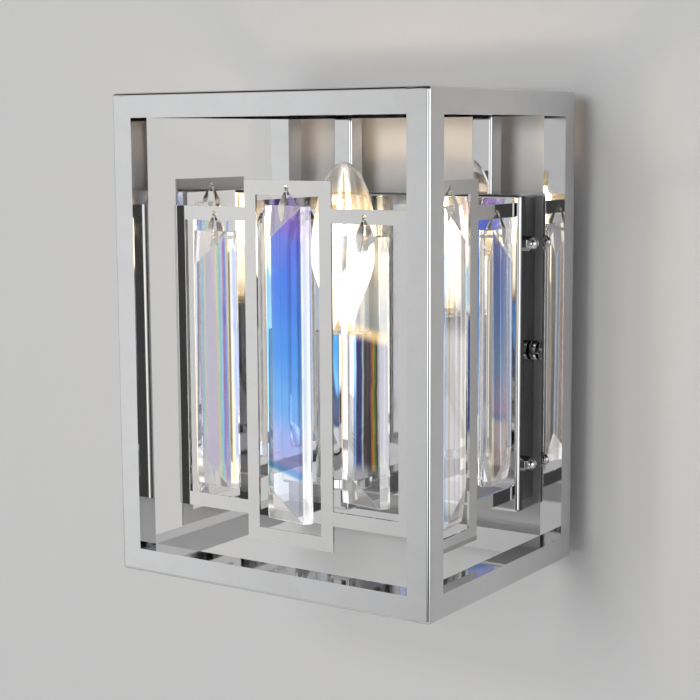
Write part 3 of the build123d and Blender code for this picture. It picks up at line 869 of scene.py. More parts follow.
@dataclass(frozen=True)
class PaintedWall(Finish):
    """Smooth painted surface that is clear from behind and over an opening, so that the sconce's back can be seen."""

    colour: Colour
    opening: tuple[float, float] = (0.0, 0.0)
    own_light: float = 0.0

    def make(self) -> bpy.types.Material:
        """Makes the material, which mixes paint, its own light and clearness.

        Returns:
            The material.
        """
        material, graph = new_material(self.name)
        point = graph.object_point()
        roller = graph.add("ShaderNodeTexNoise", {"Vector": point, "Scale": 260.0, "Detail": 3.0}).outputs[0]
        tone = tuple(channel * 0.985 for channel in self.colour)
        colour = graph.blend(roller, (*self.colour, 1), (*tone, 1))
        normal = graph.bump(roller, 0.08, 0.2 * MM)
        paint = graph.add("ShaderNodeBsdfPrincipled", {"Base Color": colour, "Roughness": 0.6,
                                                      "Specular IOR Level": 0.2, "Normal": normal}).outputs[0]
        path = graph.add("ShaderNodeLightPath")
        if self.own_light:
            pale = graph.add("ShaderNodeEmission", {"Color": colour, "Strength": 1.0})
            seen = graph.math("MAXIMUM", path.outputs["Is Camera Ray"], path.outputs["Is Glossy Ray"])
            seen = graph.math("MAXIMUM", seen, path.outputs["Is Transmission Ray"])
            share = graph.math("MULTIPLY", seen, self.own_light)
            paint = graph.add("ShaderNodeMixShader", {0: share, 1: paint, 2: pale.outputs[0]}).outputs[0]
        parts = graph.add("ShaderNodeSeparateXYZ", {0: point})
        inside = [graph.math("LESS_THAN", graph.math("ABSOLUTE", parts.outputs[axis]), half)
                  for axis, half in zip("XZ", self.opening)]
        behind = graph.add("ShaderNodeNewGeometry").outputs["Backfacing"]
        open_here = graph.math("MAXIMUM", behind, graph.math("MULTIPLY", *inside))
        clear = graph.add("ShaderNodeBsdfTransparent")
        shader = graph.add("ShaderNodeMixShader", {0: open_here, 1: paint, 2: clear.outputs[0]})
        graph.add("ShaderNodeOutputMaterial", {"Surface": shader.outputs[0]})
        return material


# ============================================================================ the sconce's sub-assemblies
class Facing(Enum):
    """The side of the cage that a hanging set faces, by its turn about Z."""

    FRONT = 0.0
    LEFT = -QUARTER
    RIGHT = QUARTER


def dress_node(node: str, material: bpy.types.Material) -> None:
    """Gives a CAD node its finish.

    Args:
        node: the node's name.
        material: the finish.
    """
    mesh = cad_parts[node].data
    mesh.materials.clear()
    mesh.materials.append(material)


def hand_over(obj: bpy.types.Object, material: bpy.types.Material, body: str, slot: str,
              nodes: Sequence[str]) -> bpy.types.Object:
    """Dresses a finished piece, puts it on its body and lets it stand for its nodes.

    Args:
        obj: the piece.
        material: its finish.
        body: the CAD body that it rides on.
        slot: what the piece is made of; crystal and bulb glass let the lamps' light through.
        nodes: the CAD nodes that it stands for.

    Returns:
        The piece.
    """
    obj.data.materials.clear()
    obj.data.materials.append(material)
    obj.visible_shadow = slot not in ("crystal", "bulb_glass")
    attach(obj, body)
    if nodes:
        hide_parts(*nodes)
    LOG.info("%s: %d faces on %s", obj.name, len(obj.data.polygons), body)
    return obj


@dataclass
class BoxFrame:
    """The polished square tube frame, its stanchions, the canopy and the lamp's arm: CAD nodes, dressed."""

    tube_finish: PolishedMetal
    sheet_finish: PolishedMetal
    weld: float = 0.01 * MM
    flat_from: float = 0.9998

    def build(self) -> None:
        """Dresses the nodes."""
        tube = self.tube_finish.make()
        sheet = self.sheet_finish.make()
        for name in list(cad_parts):
            if name.startswith(("frame_", "stanchion_left", "stanchion_right")) or name == "canopy":
                self.polish(name, tube)
            elif name in ("cage_front", "cage_left", "cage_right"):
                dress_node(name, sheet)
        dress_node("lamp_arm", tube)
        LOG.info("box frame, canopy, arm and cage dressed")

    def polish(self, node: str, material: bpy.types.Material) -> None:
        """Copies a tube's node, welds the copy and smooths its rounded edges alone, so that they mirror as rounds.

        Args:
            node: the node's name.
            material: the tube's finish.
        """
        tube = copied(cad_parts[node], "polished_" + node)
        with editing(tube):
            bpy.ops.mesh.select_all(action="SELECT")
            bpy.ops.mesh.remove_doubles(threshold=self.weld)
            bpy.ops.mesh.faces_shade_flat()
        select_where(tube, lambda normal: max(abs(axis) for axis in normal) < self.flat_from)
        with editing(tube, "FACE"):
            bpy.ops.mesh.faces_shade_smooth()
        hand_over(tube, material, "fixture", "frame_chrome", [node])


@dataclass
class HangingSet:
    """One crystal on its pinch bail."""

    name: str
    facing: Facing
    spectrum: Spectrum
    bail_material: bpy.types.Material
    cut_side: int
    patterns: Patterns
    bevel_width: float = 2.75 * MM
    edge_land: float = 1.6 * MM
    facet_height: float = 17.5 * MM
    facet_depth: float = 3.2 * MM
    edge_polish: float = 0.14 * MM
    hole_radius: float = 0.8 * MM
    hole_drop: float = 3.5 * MM
    head_drop: float = 9.0 * MM
    bow_radius: float = 1.6 * MM
    bow_wire: float = 0.45 * MM
    bow_drop: float = 1.981 * MM
    strip: float = 0.6 * MM

    def measure(self) -> tuple[Vector, float, float, float]:
        """Reads the crystal's place and size from its node.

        Returns:
            The middle of its top, its width, its thickness and its length.
        """
        low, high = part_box("crystal_" + self.name)
        size = high - low
        width, depth = (size.x, size.y) if self.facing is Facing.FRONT else (size.y, size.x)
        return Vector(((low.x + high.x) / 2, (low.y + high.y) / 2, high.z)), width, depth, size.z

    def facet_planes(self, half_face: float, half_depth: float, length: float) -> list[tuple[Vector, Vector]]:
        """The two corner facets, from the crystal's top middle.

        Args:
            half_face: half the main face's width.
            half_depth: half the thickness.
            length: the crystal's length.

        Returns:
            A point and an outward normal for each.
        """
        planes = []
        for end, inward in ((0.0, -1), (-length, 1)):
            near = Vector((-self.cut_side * half_face, -half_depth, end))
            along = Vector((self.cut_side * half_face, -half_depth, end + inward * self.facet_height))
            deep = Vector((self.cut_side * half_face, -half_depth + self.facet_depth, end))
            normal = (along - near).cross(deep - near).normalized()
            if normal.y > 0:
                normal.negate()
            planes.append((near, normal))
        return planes

    def crystal_finish(self) -> CutCrystal:
        """The finish, laid out on this crystal's own place and size."""
        top, width, depth, length = self.measure()
        half_size = (width / 2, depth / 2, length / 2)
        middle = top - Vector((0, 0, length / 2))
        planes = self.facet_planes(width / 2 - self.bevel_width, depth / 2, length)
        facets = tuple((tuple(at + Vector((0, 0, length / 2))), tuple(normal)) for at, normal in planes)
        return CutCrystal("crystal_" + self.name, tuple(middle), self.facing.value, half_size, facets, self.spectrum)

    def cut_crystal(self) -> bpy.types.Object:
        """Cuts a crystal from a block: four long bevels, two corner facets, a hole and polished edges."""
        _, width, depth, length = self.measure()
        half_width, half_depth = width / 2, depth / 2
        half_face = half_width - self.bevel_width
        obj = block("crystal_pattern", (-half_width, -half_depth, -length), (half_width, half_depth, 0))
        for side in SIDES:
            for front in SIDES:
                rise = half_depth - self.edge_land / 2
                sliced(obj, Vector((side * half_face, front * half_depth, 0)),
                       Vector((side * rise, front * self.bevel_width, 0)).normalized())
        for at, normal in self.facet_planes(half_face, half_depth, length):
            sliced(obj, at, normal)
        bored(obj, self.hole_radius, Vector((0, -depth, -self.hole_drop)), Vector((0, depth, -self.hole_drop)))
        return bevelled(obj, self.edge_polish, 2, 12)

    def bend_bail(self) -> bpy.types.Object:
        """Bends a bail: a half ring through the sheet hole, two leaf-shaped legs and their pins."""
        _, _, depth, _ = self.measure()
        bow_z = -self.bow_drop
        leg_y = depth / 2 + self.strip
        bend_z = -self.head_drop + 0.4 * MM
        pin_z = -self.head_drop - self.hole_drop
        path = [(self.bow_radius, bow_z, 0.9), (self.bow_radius + 0.9 * MM, bow_z - 1.6 * MM, 2.0),
                (leg_y - 1.2 * MM, bend_z + 2.4 * MM, 3.7), (leg_y - 0.1 * MM, bend_z, 4.3),
                (leg_y, bend_z - 2.2 * MM, 4.2), (leg_y, pin_z, 3.6), (leg_y, pin_z - 2.6 * MM, 2.7),
                (leg_y, pin_z - 4.1 * MM, 1.3)]
        pieces = []
        for side in SIDES:
            pieces.append(self.leaf(side, path))
            start = Vector((0, side * leg_y, pin_z))
            pieces.append(rod_between("pin", 0.55 * MM, start, start - Vector((0, side * 2.6 * MM, 0)), 16,
                                      0.2 * MM))
            rivet = rod_between("rivet", 0.8 * MM, start, start + Vector((0, side * 0.28 * MM, 0)), 20, 0.12 * MM)
            pieces.append(rivet)
        deselect_all()
        bpy.ops.mesh.primitive_torus_add(major_segments=32, minor_segments=12, major_radius=self.bow_radius,
                                         minor_radius=self.bow_wire, rotation=(0, math.pi / 2, 0),
                                         location=(0, 0, bow_z))
        bow = settle(fresh("bow"))
        sliced(bow, Vector((0, 0, bow_z)), Vector((0, 0, -1)))
        pieces.append(bow)
        return smoothed(joined("bail_pattern", pieces), 40)

    def leaf(self, side: int, path: Sequence[tuple[float, float, float]]) -> bpy.types.Object:
        """One leg: an edge extruded along its path, widened and narrowed on the way, then given its thickness.

        Args:
            side: -1 for the front leg, 1 for the back one.
            path: (distance out, height, width in millimetres) of each station.

        Returns:
            The leg.
        """
        deselect_all()
        bpy.ops.mesh.primitive_plane_add(size=MM)
        obj = fresh("leaf")
        first_y, first_z, width = path[0]
        with editing(obj):
            bpy.ops.mesh.select_all(action="SELECT")
            bpy.ops.mesh.merge(type="CENTER")
            bpy.ops.transform.translate(value=(-width * MM / 2, side * first_y, first_z))
            bpy.ops.mesh.extrude_vertices_move(TRANSFORM_OT_translate={"value": (width * MM, 0, 0)})
            bpy.ops.mesh.select_all(action="SELECT")
            for (y0, z0, w0), (y1, z1, w1) in zip(path, path[1:]):
                bpy.ops.mesh.extrude_region_move(
                    TRANSFORM_OT_translate={"value": (0, side * (y1 - y0), z1 - z0)})
                bpy.ops.transform.resize(value=(w1 / w0, 1, 1), center_override=(0, side * y1, z1))
            bpy.ops.mesh.select_all(action="SELECT")
            bpy.ops.mesh.normals_make_consistent(inside=False)
        apply_modifier(obj, "SOLIDIFY", thickness=self.strip * 0.9, offset=0.0)
        bevelled(obj, 0.12 * MM, 2, 40)
        apply_modifier(obj, "SUBSURF", levels=1, render_levels=1)
        return obj

    def build(self) -> None:
        """Copies, hangs and hands over the crystal and its bail."""
        body = "pendant_" + self.name
        top, _, _, length = self.measure()
        crystal = self.patterns.copy((self.cut_side, round(length, 5)), self.cut_crystal, "cut_crystal_" + self.name)
        moved(crystal, top, self.facing.value)
        hand_over(crystal, self.crystal_finish().make(), body, "crystal", ["crystal_" + self.name])
        bail = self.patterns.copy("bail", self.bend_bail, "pinch_bail_" + self.name)
        moved(bail, top + Vector((0, 0, self.head_drop)), self.facing.value)
        hand_over(bail, self.bail_material, body, "hanger_chrome", ["bail_" + self.name])


@dataclass
class Fixings:
    """Cap nuts, knurled thumbscrews, cross-recessed screws and the lamp's sleeve."""

    chrome: bpy.types.Material
    zinc: bpy.types.Material
    brass: bpy.types.Material
    patterns: Patterns
    shank_radius: float = 1.95 * MM
    small_shank_radius: float = 1.45 * MM
    head_radius: float = 3.6 * MM
    small_head_radius: float = 2.4 * MM
    head_height: float = 2.0 * MM
    head_round: tuple[tuple[float, float], ...] = ((0.0, 1.0), (0.45, 0.985), (0.75, 0.88), (0.93, 0.66), (1.0, 0.36))
    cross_reach: float = 0.56
    cross_slot: float = 0.13
    cross_floor: float = 0.42
    thread_pitch: float = 0.7 * MM
    thread_depth: float = 0.28 * MM
    nut_radius: float = 4.05 * MM
    nut_height: float = 3.0 * MM
    nut_chamfer: float = 0.35 * MM
    dome_radius: float = 3.4 * MM
    nut_bore: tuple[float, float] = (2.0 * MM, 4.5 * MM)
    tab_z: float = 59.0 * MM
    knob_radius: float = 5.5 * MM
    knob_length: float = 4.5 * MM
    knob_shank: float = 8.5 * MM
    knob_collar: float = 0.9 * MM
    knurls: int = 36
    knurl_depth: float = 0.055
    sheet_thickness: float = 1.2 * MM
    sleeve_wall: float = 1.0 * MM
    rim_round: float = 0.35 * MM

    def screw(self, radius: float, head_radius: float, length: float) -> bpy.types.Object:
        """Turns a pan-headed screw with a thread, its head's underside at the origin, and cuts its cross.

        Args:
            radius: the shank's radius.
            head_radius: the head's radius.
            length: the shank's length, downwards.

        Returns:
            The screw.
        """
        top = self.head_height
        profile = [(head_radius * out, top * up) for out, up in self.head_round]
        profile += [(head_radius, 0.1 * MM), (head_radius - 0.1 * MM, 0.0)]
        profile += thread(radius, self.thread_depth, self.thread_pitch, 0.2 * MM, length)
        obj = turned("screw_pattern", profile, 32)
        reach, slot = head_radius * self.cross_reach, head_radius * self.cross_slot
        for across, along in ((reach, slot), (slot, reach)):
            recess = block("recess", (-across, -along, top * self.cross_floor), (across, along, top * 1.5))
            combined(obj, recess, "DIFFERENCE")
        return smoothed(obj, 32)

    def cap_nut(self) -> bpy.types.Object:
        """Chamfers a hexagon, raises its dome and bores it."""
        rim, chamfer, height, radius = self.nut_radius, self.nut_chamfer, self.nut_height, self.dome_radius
        deselect_all()
        bpy.ops.mesh.primitive_cylinder_add(vertices=6, radius=rim, depth=height, location=(0, 0, height / 2),
                                            rotation=(0, 0, QUARTER))
        nut = settle(fresh("nut_pattern"))
        clear, neck = rim + 0.05 * MM, radius - 0.15 * MM
        combined(nut, turned("blank", [(0.0, 0.0), (rim - chamfer, 0.0), (clear, chamfer), (clear, height - chamfer),
                                       (rim - chamfer, height), (0.0, height)]), "INTERSECT")
        arc = [(radius * math.cos(step / 12 * QUARTER), height + radius * math.sin(step / 12 * QUARTER))
               for step in range(12)]
        combined(nut, turned("dome", [(0.0, height - 0.5 * MM), (neck, height - 0.5 * MM), (neck, height), *arc,
                                      (0.0, height + radius)]), "UNION")
        bore, depth = self.nut_bore
        return smoothed(bored(nut, bore, Vector((0, 0, -MM)), Vector((0, 0, depth))), 30)

    def thumbscrew(self) -> bpy.types.Object:
        """Knurls a knob, dishes its face, and turns its collar and threaded shank."""
        top, collar = self.knob_length, self.knob_collar
        deselect_all()
        bpy.ops.mesh.primitive_cylinder_add(vertices=self.knurls * 2, radius=self.knob_radius, depth=top - collar,
                                            location=(0, 0, (top + collar) / 2))
        knob = settle(fresh("thumbscrew_pattern"))
        bevelled(knob, 0.45 * MM, 2, 60)
        for vertex in knob.data.vertices:
            turn = math.atan2(vertex.co.x, vertex.co.y) / (math.pi / self.knurls)
            rim = math.hypot(vertex.co.x, vertex.co.y) > self.knob_radius * 0.97
            vertex.select = rim and round(turn) % 2 == 1
        for part in (*knob.data.edges, *knob.data.polygons):
            part.select = False
        with editing(knob):
            bpy.ops.transform.resize(value=(1 - self.knurl_depth, 1 - self.knurl_depth, 1))
        floor, above = top - 0.6 * MM, top + 0.1 * MM
        combined(knob, turned("dish", [(0.0, floor), (3.4 * MM, floor), (4.1 * MM, above), (0.0, above)]),
                 "DIFFERENCE")
        shank = thread(self.shank_radius, self.thread_depth, self.thread_pitch, 0.3 * MM, self.knob_shank)
        neck = [(0.0, collar + 0.3 * MM), (3.6 * MM, collar + 0.3 * MM), (3.6 * MM, 0.0)]
        return smoothed(combined(knob, turned("shank", neck + shank, 32), "UNION"), 30)

    def place(self, name: str, node: str, material: bpy.types.Material, slot: str,
              make: Callable[[], bpy.types.Object], spots: Sequence[tuple[Point, float, float]]) -> None:
        """Copies a pattern to its places and hands the lot over for one node.

        Args:
            name: the piece's name.
            node: the node that it stands for.
            material: its finish.
            slot: what the piece is made of, which decides whether it casts a shadow.
            make: models the pattern.
            spots: each copy's place and its turns about Y and X.
        """
        pieces = [moved(self.patterns.copy(node, make, name), Vector(place), 0.0, turn_y, turn_x)
                  for place, turn_y, turn_x in spots]
        hand_over(joined(name, pieces), material, "fixture", slot, [node])

    def build_screws(self) -> None:
        """Sets the screws: stanchions, cage tabs, lamp arm and earth."""
        low, high, middle = measured("stanchion_screws")
        seat, x = low.z + self.head_height, high.x - self.head_radius
        self.place("stanchion_cross_screws", "stanchion_screws", self.zinc, "zinc_steel",
                   lambda: self.screw(self.shank_radius, self.head_radius, high.z - seat),
                   [((side * x, middle.y, seat), 0.0, 2 * QUARTER) for side in SIDES])
        _, end, middle = measured("cage_screws")
        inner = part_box("cage_right")[1].x - self.sheet_thickness
        self.place("cage_cross_screws", "cage_screws", self.zinc, "zinc_steel",
                   lambda: self.screw(self.shank_radius, self.head_radius, end.x - inner),
                   [((side * inner, middle.y, rise * self.tab_z), -side * QUARTER, 0.0)
                    for side in SIDES for rise in SIDES])
        near, far, middle = measured("lamp_arm_screws")
        arm_x, arm_seat = (far.x - near.x) / 2 - self.small_head_radius, far.y - self.head_height
        self.place("arm_cross_screws", "lamp_arm_screws", self.zinc, "zinc_steel",
                   lambda: self.screw(self.small_shank_radius, self.small_head_radius, arm_seat - near.y),
                   [((side * arm_x, arm_seat, middle.z), 0.0, -QUARTER) for side in SIDES])
        front, back, middle = measured("earth_screw")
        earth_seat = front.y + self.head_height
        self.place("earth_cross_screw", "earth_screw", self.brass, "brass",
                   lambda: self.screw(self.shank_radius, self.head_radius, back.y - earth_seat),
                   [((middle.x, earth_seat, middle.z), 0.0, QUARTER)])

    def build_sleeve(self) -> None:
        """Rolls the lamp's sleeve with rounded rims."""
        low, high, middle = measured("lamp_sleeve")
        outer = (high.x - low.x) / 2
        inner, rim = outer - self.sleeve_wall, self.rim_round
        profile = [(inner, low.z + rim), (inner + rim, low.z), (outer - rim, low.z), (outer, low.z + rim)]
        corners = [(inner + (outer - inner) / 2 * (1 + math.cos(step / 8 * math.pi)),
                    high.z - rim + rim * math.sin(step / 8 * math.pi)) for step in range(9)]
        sleeve = smoothed(turned("rolled_sleeve", profile + corners, 96, closed=True), 50)
        moved(sleeve, Vector((middle.x, middle.y, 0)))
        hand_over(sleeve, self.chrome, "fixture", "frame_chrome", ["lamp_sleeve"])

    def build(self) -> None:
        """Builds and hands over every fixing."""
        _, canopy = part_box("canopy")
        y = measured("domed_nuts")[2].y
        self.place("cap_nuts", "domed_nuts", self.chrome, "fastener_chrome", self.cap_nut,
                   [((side * canopy.x, y, rise * self.tab_z), side * QUARTER, 0.0)
                    for side in SIDES for rise in SIDES])
        y = measured("canopy_thumbscrews")[2].y
        self.place("knurled_thumbscrews", "canopy_thumbscrews", self.chrome, "fastener_chrome", self.thumbscrew,
                   [((side * canopy.x, y, 0.0), side * QUARTER, 0.0) for side in SIDES])
        self.build_screws()
        self.build_sleeve()


@dataclass
class CandleBulb:
    """The clear bulb with its screw cap, stem and lit filament rods."""

    glass_finish: ClearGlass
    cap_finish: PolishedMetal
    glow_finish: Glow
    wall: float = 0.7 * MM
    crown: float = 50.0 * MM
    thread_pitch: float = 2.8 * MM
    thread_depth: float = 0.5 * MM
    rod_circle: float = 5.0 * MM
    rod_radius: float = 0.9 * MM
    rod_count: int = 4
    rod_foot_drop: float = 34.8 * MM
    rod_head_drop: float = 0.8 * MM
    head_gather: float = 0.55
    shoulder_steps: int = 14
    crown_steps: int = 20

    def __post_init__(self) -> None:
        """Reads the bulb's place and size from its nodes."""
        low, high, middle = measured("bulb_glass")
        self.axis = Vector((middle.x, middle.y, 0))
        self.neck_z, self.tip_z = low.z, high.z
        self.radius = (high.x - low.x) / 2
        low, high, _ = measured("bulb_cap")
        self.cap_low, self.cap_high = low.z, high.z
        self.cap_radius = (high.x - low.x) / 2
        low, high, _ = measured("bulb_filament")
        self.stem_low, self.stem_top, self.rod_top = low.z, high.z - self.rod_foot_drop, high.z - self.rod_head_drop

    def outline(self) -> list[tuple[float, float]]:
        """The glass's outer profile: a drawn-in shoulder and a half-ellipse crown."""
        widest = self.tip_z - self.crown
        rise = widest - self.neck_z
        points = []
        for index in range(self.shoulder_steps):
            t = index / self.shoulder_steps
            smooth = t * t * (3 - 2 * t)
            points.append((self.cap_radius + (self.radius - self.cap_radius) * smooth, self.neck_z + rise * t))
        for index in range(self.crown_steps + 1):
            angle = index / self.crown_steps * QUARTER
            points.append((self.radius * math.cos(angle), widest + self.crown * math.sin(angle)))
        points[-1] = (0.0, self.tip_z)
        return points

    def build_glass(self) -> bpy.types.Object:
        """Blows the glass: the profile turned, then given its wall."""
        obj = turned("bulb_envelope", self.outline(), 72)
        apply_modifier(obj, "SOLIDIFY", thickness=self.wall, offset=-1.0)
        return moved(smoothed(obj, 60), self.axis)

    def build_cap(self) -> bpy.types.Object:
        """Rolls the cap with its rounded thread, its insulator and its contact."""
        contact = 2.3 * MM
        profile = [(0.0, self.cap_low), (contact * 0.8, self.cap_low), (contact, self.cap_low + 0.5 * MM),
                   (contact, self.cap_low + MM), (5.0 * MM, self.cap_low + 3.0 * MM)]
        bottom = self.cap_low + 3.6 * MM
        root = self.cap_radius - self.thread_depth
        turns = int((self.cap_high - 3.0 * MM - bottom) / self.thread_pitch)
        profile.append((root, bottom))
        for index in range(turns * 6):
            angle = index / 6 * FULL_TURN
            radius = root + self.thread_depth * (0.5 - 0.5 * math.cos(angle))
            profile.append((radius, bottom + index / 6 * self.thread_pitch))
        profile += [(root, bottom + turns * self.thread_pitch), (self.cap_radius, self.cap_high - 0.6 * MM),
                    (self.cap_radius - 0.2 * MM, self.cap_high), (0.0, self.cap_high)]
        obj = turned("bulb_screw_cap", profile, 48)
        return moved(smoothed(obj, 50), self.axis)

    def build_filament(self) -> bpy.types.Object:
        """Builds the lit rods between their two carriers."""
        pieces = []
        for index in range(self.rod_count):
            angle = index / self.rod_count * FULL_TURN
            foot = Vector((self.rod_circle * math.cos(angle), self.rod_circle * math.sin(angle), self.stem_top))
            head = Vector((foot.x * self.head_gather, foot.y * self.head_gather, self.rod_top))
            pieces.append(rod_between("rod", self.rod_radius, foot, head, 16, 0.4 * MM))
        return moved(smoothed(joined("bulb_filament_rods", pieces)), self.axis)

    def build_stem(self) -> bpy.types.Object:
        """Builds the flared glass stem with its lead wires and carriers."""
        stem_top, foot_z = self.stem_top, self.stem_low
        profile = [(0.0, foot_z), (6.0 * MM, foot_z), (5.6 * MM, foot_z + MM),
                   (3.0 * MM, foot_z + 6 * MM), (1.9 * MM, foot_z + 14 * MM),
                   (1.7 * MM, stem_top - 3 * MM), (2.4 * MM, stem_top - MM), (2.0 * MM, stem_top - 0.3 * MM),
                   (0.0, stem_top)]
        pieces = [turned("stem", profile, 32)]
        for side in SIDES:
            foot = Vector((side * 1.2 * MM, 0, stem_top - 5 * MM))
            shoulder = Vector((side * self.rod_circle, 0, stem_top))
            pieces.append(rod_between("wire", 0.25 * MM, foot, shoulder, 8))
        return moved(smoothed(joined("bulb_stem", pieces)), self.axis)

    def build(self) -> None:
        """Builds and hands over the bulb's pieces."""
        hand_over(self.build_glass(), self.glass_finish.make(), "bulb", "bulb_glass", ["bulb_glass"])
        hand_over(self.build_cap(), self.cap_finish.make(), "bulb", "bulb_cap", ["bulb_cap"])
        hand_over(self.build_filament(), self.glow_finish.make(), "bulb", "filament", ["bulb_filament"])
        stem = ClearGlass("stem_glass", (0.96, 0.97, 0.98)).make()
        hand_over(self.build_stem(), stem, "bulb", "bulb_glass", [])


# ============================================================================ studio
@dataclass
class Studio:
    """Wall, floor, soft lights and the camera at the photograph's angle."""

    wall_colour: Colour = (0.62, 0.62, 0.62)
    floor_colour: Colour = (0.78, 0.775, 0.765)
    floor_drop: float = 1.35
    reach: float = 4.0
    floor_reach: float = 2.2
    image_side: float = 700.0
    focal_pixels: float = 1602.6
    azimuth: float = 33.675
    elevation: float = 7.578
    roll: float = -0.339
    camera_place: Point = (0.46728, -0.78464, 0.11524)
    key_azimuth: float = -7.0
    key_elevation: float = 9.0
    key_distance: float = 2.6
    key_size: tuple[float, float] = (0.85, 1.6)
    key_power: float = 41.0
    lamp_power: float = 0.16
    lamp_colour: Colour = (1.0, 0.62, 0.32)
    lamp_rise: float = 0.65
    screens: tuple[tuple[Point, float, float, float], ...] = (
        ((-0.82, -0.57, 0.0), 0.72, 0.95, 0.97), ((0.09, -0.996, 0.0), 0.94, 0.965, 2.1),
        ((0.94, -0.34, 0.0), 0.90, 0.95, 2.1))
    screen_rise: tuple[float, float, float] = (0.42, 0.66, 0.3)
    behind_from: tuple[float, float] = (0.05, 0.25)
    room_behind: float = 0.70
    room_dark: float = 0.10
    ambient: float = 0.29
    backdrop: float = 0.62

    def plane(self, name: str, corners: Sequence[Point], material: bpy.types.Material) -> bpy.types.Object:
        """A flat stage piece through four corners."""
        mesh = bpy.data.meshes.new(name)
        mesh.from_pydata(corners, [], [(0, 1, 2, 3)])
        obj = bpy.data.objects.new(name, mesh)
        bpy.context.scene.collection.objects.link(obj)
        mesh.materials.append(material)
        return obj

    def build_stage(self) -> None:
        """Stands the wall behind the sconce and lays the floor below it."""
        low, far = -self.floor_drop, self.reach
        _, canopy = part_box("canopy")
        wall = PaintedWall("wall_paint", self.wall_colour, (canopy.x - 2 * MM, canopy.z - 2 * MM)).make()
        floor = PaintedWall("floor_paint", self.floor_colour, own_light=0.75).make()
        self.plane("wall", [(-far, 0.0005, low), (far, 0.0005, low), (far, 0.0005, far), (-far, 0.0005, far)], wall)
        near = -self.floor_reach
        self.plane("floor", [(-far, near, low), (far, near, low), (far, 0.0005, low), (-far, 0.0005, low)], floor)

    def build_lights(self) -> None:
        """Hangs the soft box and the lamp's own light, and sets the world."""
        away = self.key_distance
        turn, tilt = math.radians(self.key_azimuth), math.radians(self.key_elevation)
        place = (math.sin(turn) * math.cos(tilt) * away, -math.cos(turn) * math.cos(tilt) * away,
                 math.sin(tilt) * away)
        box = bpy.data.lights.new("key_box", "AREA")
        box.shape = "RECTANGLE"
        box.size, box.size_y = self.key_size
        box.energy = self.key_power
        key = bpy.data.objects.new("key_box", box)
        bpy.context.scene.collection.objects.link(key)
        key.location = place
        key.rotation_euler = (-Vector(place)).to_track_quat("-Z", "Y").to_euler()
        key.visible_glossy = key.visible_transmission = False
        glow = bpy.data.lights.new("lamp_glow", "POINT")
        glow.energy = self.lamp_power
        glow.color = self.lamp_colour
        glow.shadow_soft_size = 0.006
        lamp = bpy.data.objects.new("lamp_glow", glow)
        bpy.context.scene.collection.objects.link(lamp)
        low, high, middle = measured("bulb_filament")
        lamp.location = (middle.x, middle.y, low.z * (1 - self.lamp_rise) + high.z * self.lamp_rise)
        self.build_world()

    def build_world(self) -> None:
        """Sets the room round the sconce, as mirrors and glass see it: pale screens, and dark elsewhere.

        A screen is a direction, the cosines at which it starts and is full, and its level. It fades upwards and
        downwards. Behind the wall it is all pale, and the camera and plain surfaces see even tones.
        """
        world = bpy.data.worlds.new("studio_world")
        bpy.context.scene.world = world
        world.use_nodes = True
        graph = Graph(world.node_tree)
        direction = graph.add("ShaderNodeTexCoord").outputs["Generated"]
        parts = graph.add("ShaderNodeSeparateXYZ", {0: direction})
        lit = self.room_dark
        for towards, edge, full, level in self.screens:
            facing = graph.add("ShaderNodeVectorMath", {0: direction, 1: towards}, operation="DOT_PRODUCT")
            lobe = graph.spread(facing.outputs["Value"], edge, full, 0.0, level - self.room_dark)
            lit = graph.math("ADD", lobe, lit)
        steep = graph.math("ABSOLUTE", parts.outputs["Z"])
        near, far, faded = self.screen_rise
        level = graph.math("MULTIPLY", lit, graph.spread(steep, near, far, 1.0, faded))
        behind = graph.spread(parts.outputs["Y"], *self.behind_from)
        level = graph.math("MAXIMUM", level, graph.math("MULTIPLY", behind, self.room_behind))
        around = graph.spread(parts.outputs["Y"], *self.behind_from, self.ambient, self.room_behind)
        path = graph.add("ShaderNodeLightPath")
        mirrored = graph.math("MAXIMUM", path.outputs["Is Glossy Ray"], path.outputs["Is Transmission Ray"])
        seen = graph.blend(mirrored, around, level)
        seen = graph.blend(path.outputs["Is Camera Ray"], seen, (self.backdrop, self.backdrop, self.backdrop, 1))
        background = graph.add("ShaderNodeBackground", {"Color": seen, "Strength": 1.0})
        graph.add("ShaderNodeOutputWorld", {"Surface": background.outputs[0]})

    def build_camera(self) -> None:
        """Sets the camera that the photograph's edges were fitted to."""
        turn, tilt, roll = (math.radians(value) for value in (self.azimuth, self.elevation, self.roll))
        ahead = Vector((-math.sin(turn) * math.cos(tilt), math.cos(turn) * math.cos(tilt), -math.sin(tilt)))
        level = Vector((math.cos(turn), math.sin(turn), 0))
        upright = level.cross(ahead)
        right = level * math.cos(roll) + upright * math.sin(roll)
        up = upright * math.cos(roll) - level * math.sin(roll)
        camera = bpy.data.cameras.new("camera")
        camera.sensor_width = 36.0
        camera.lens = self.focal_pixels / self.image_side * camera.sensor_width
        camera.clip_start, camera.clip_end = 0.01, 50.0
        obj = bpy.data.objects.new("camera", camera)
        bpy.context.scene.collection.objects.link(obj)
        matrix = Matrix((right, up, -ahead)).transposed().to_4x4()
        matrix.translation = Vector(self.camera_place)
        obj.matrix_world = matrix
        bpy.context.scene.camera = obj

    def build(self) -> None:
        """Builds the studio."""
        self.build_stage()
        self.build_lights()
        self.build_camera()
        bpy.context.scene.view_settings.view_transform = "Standard"


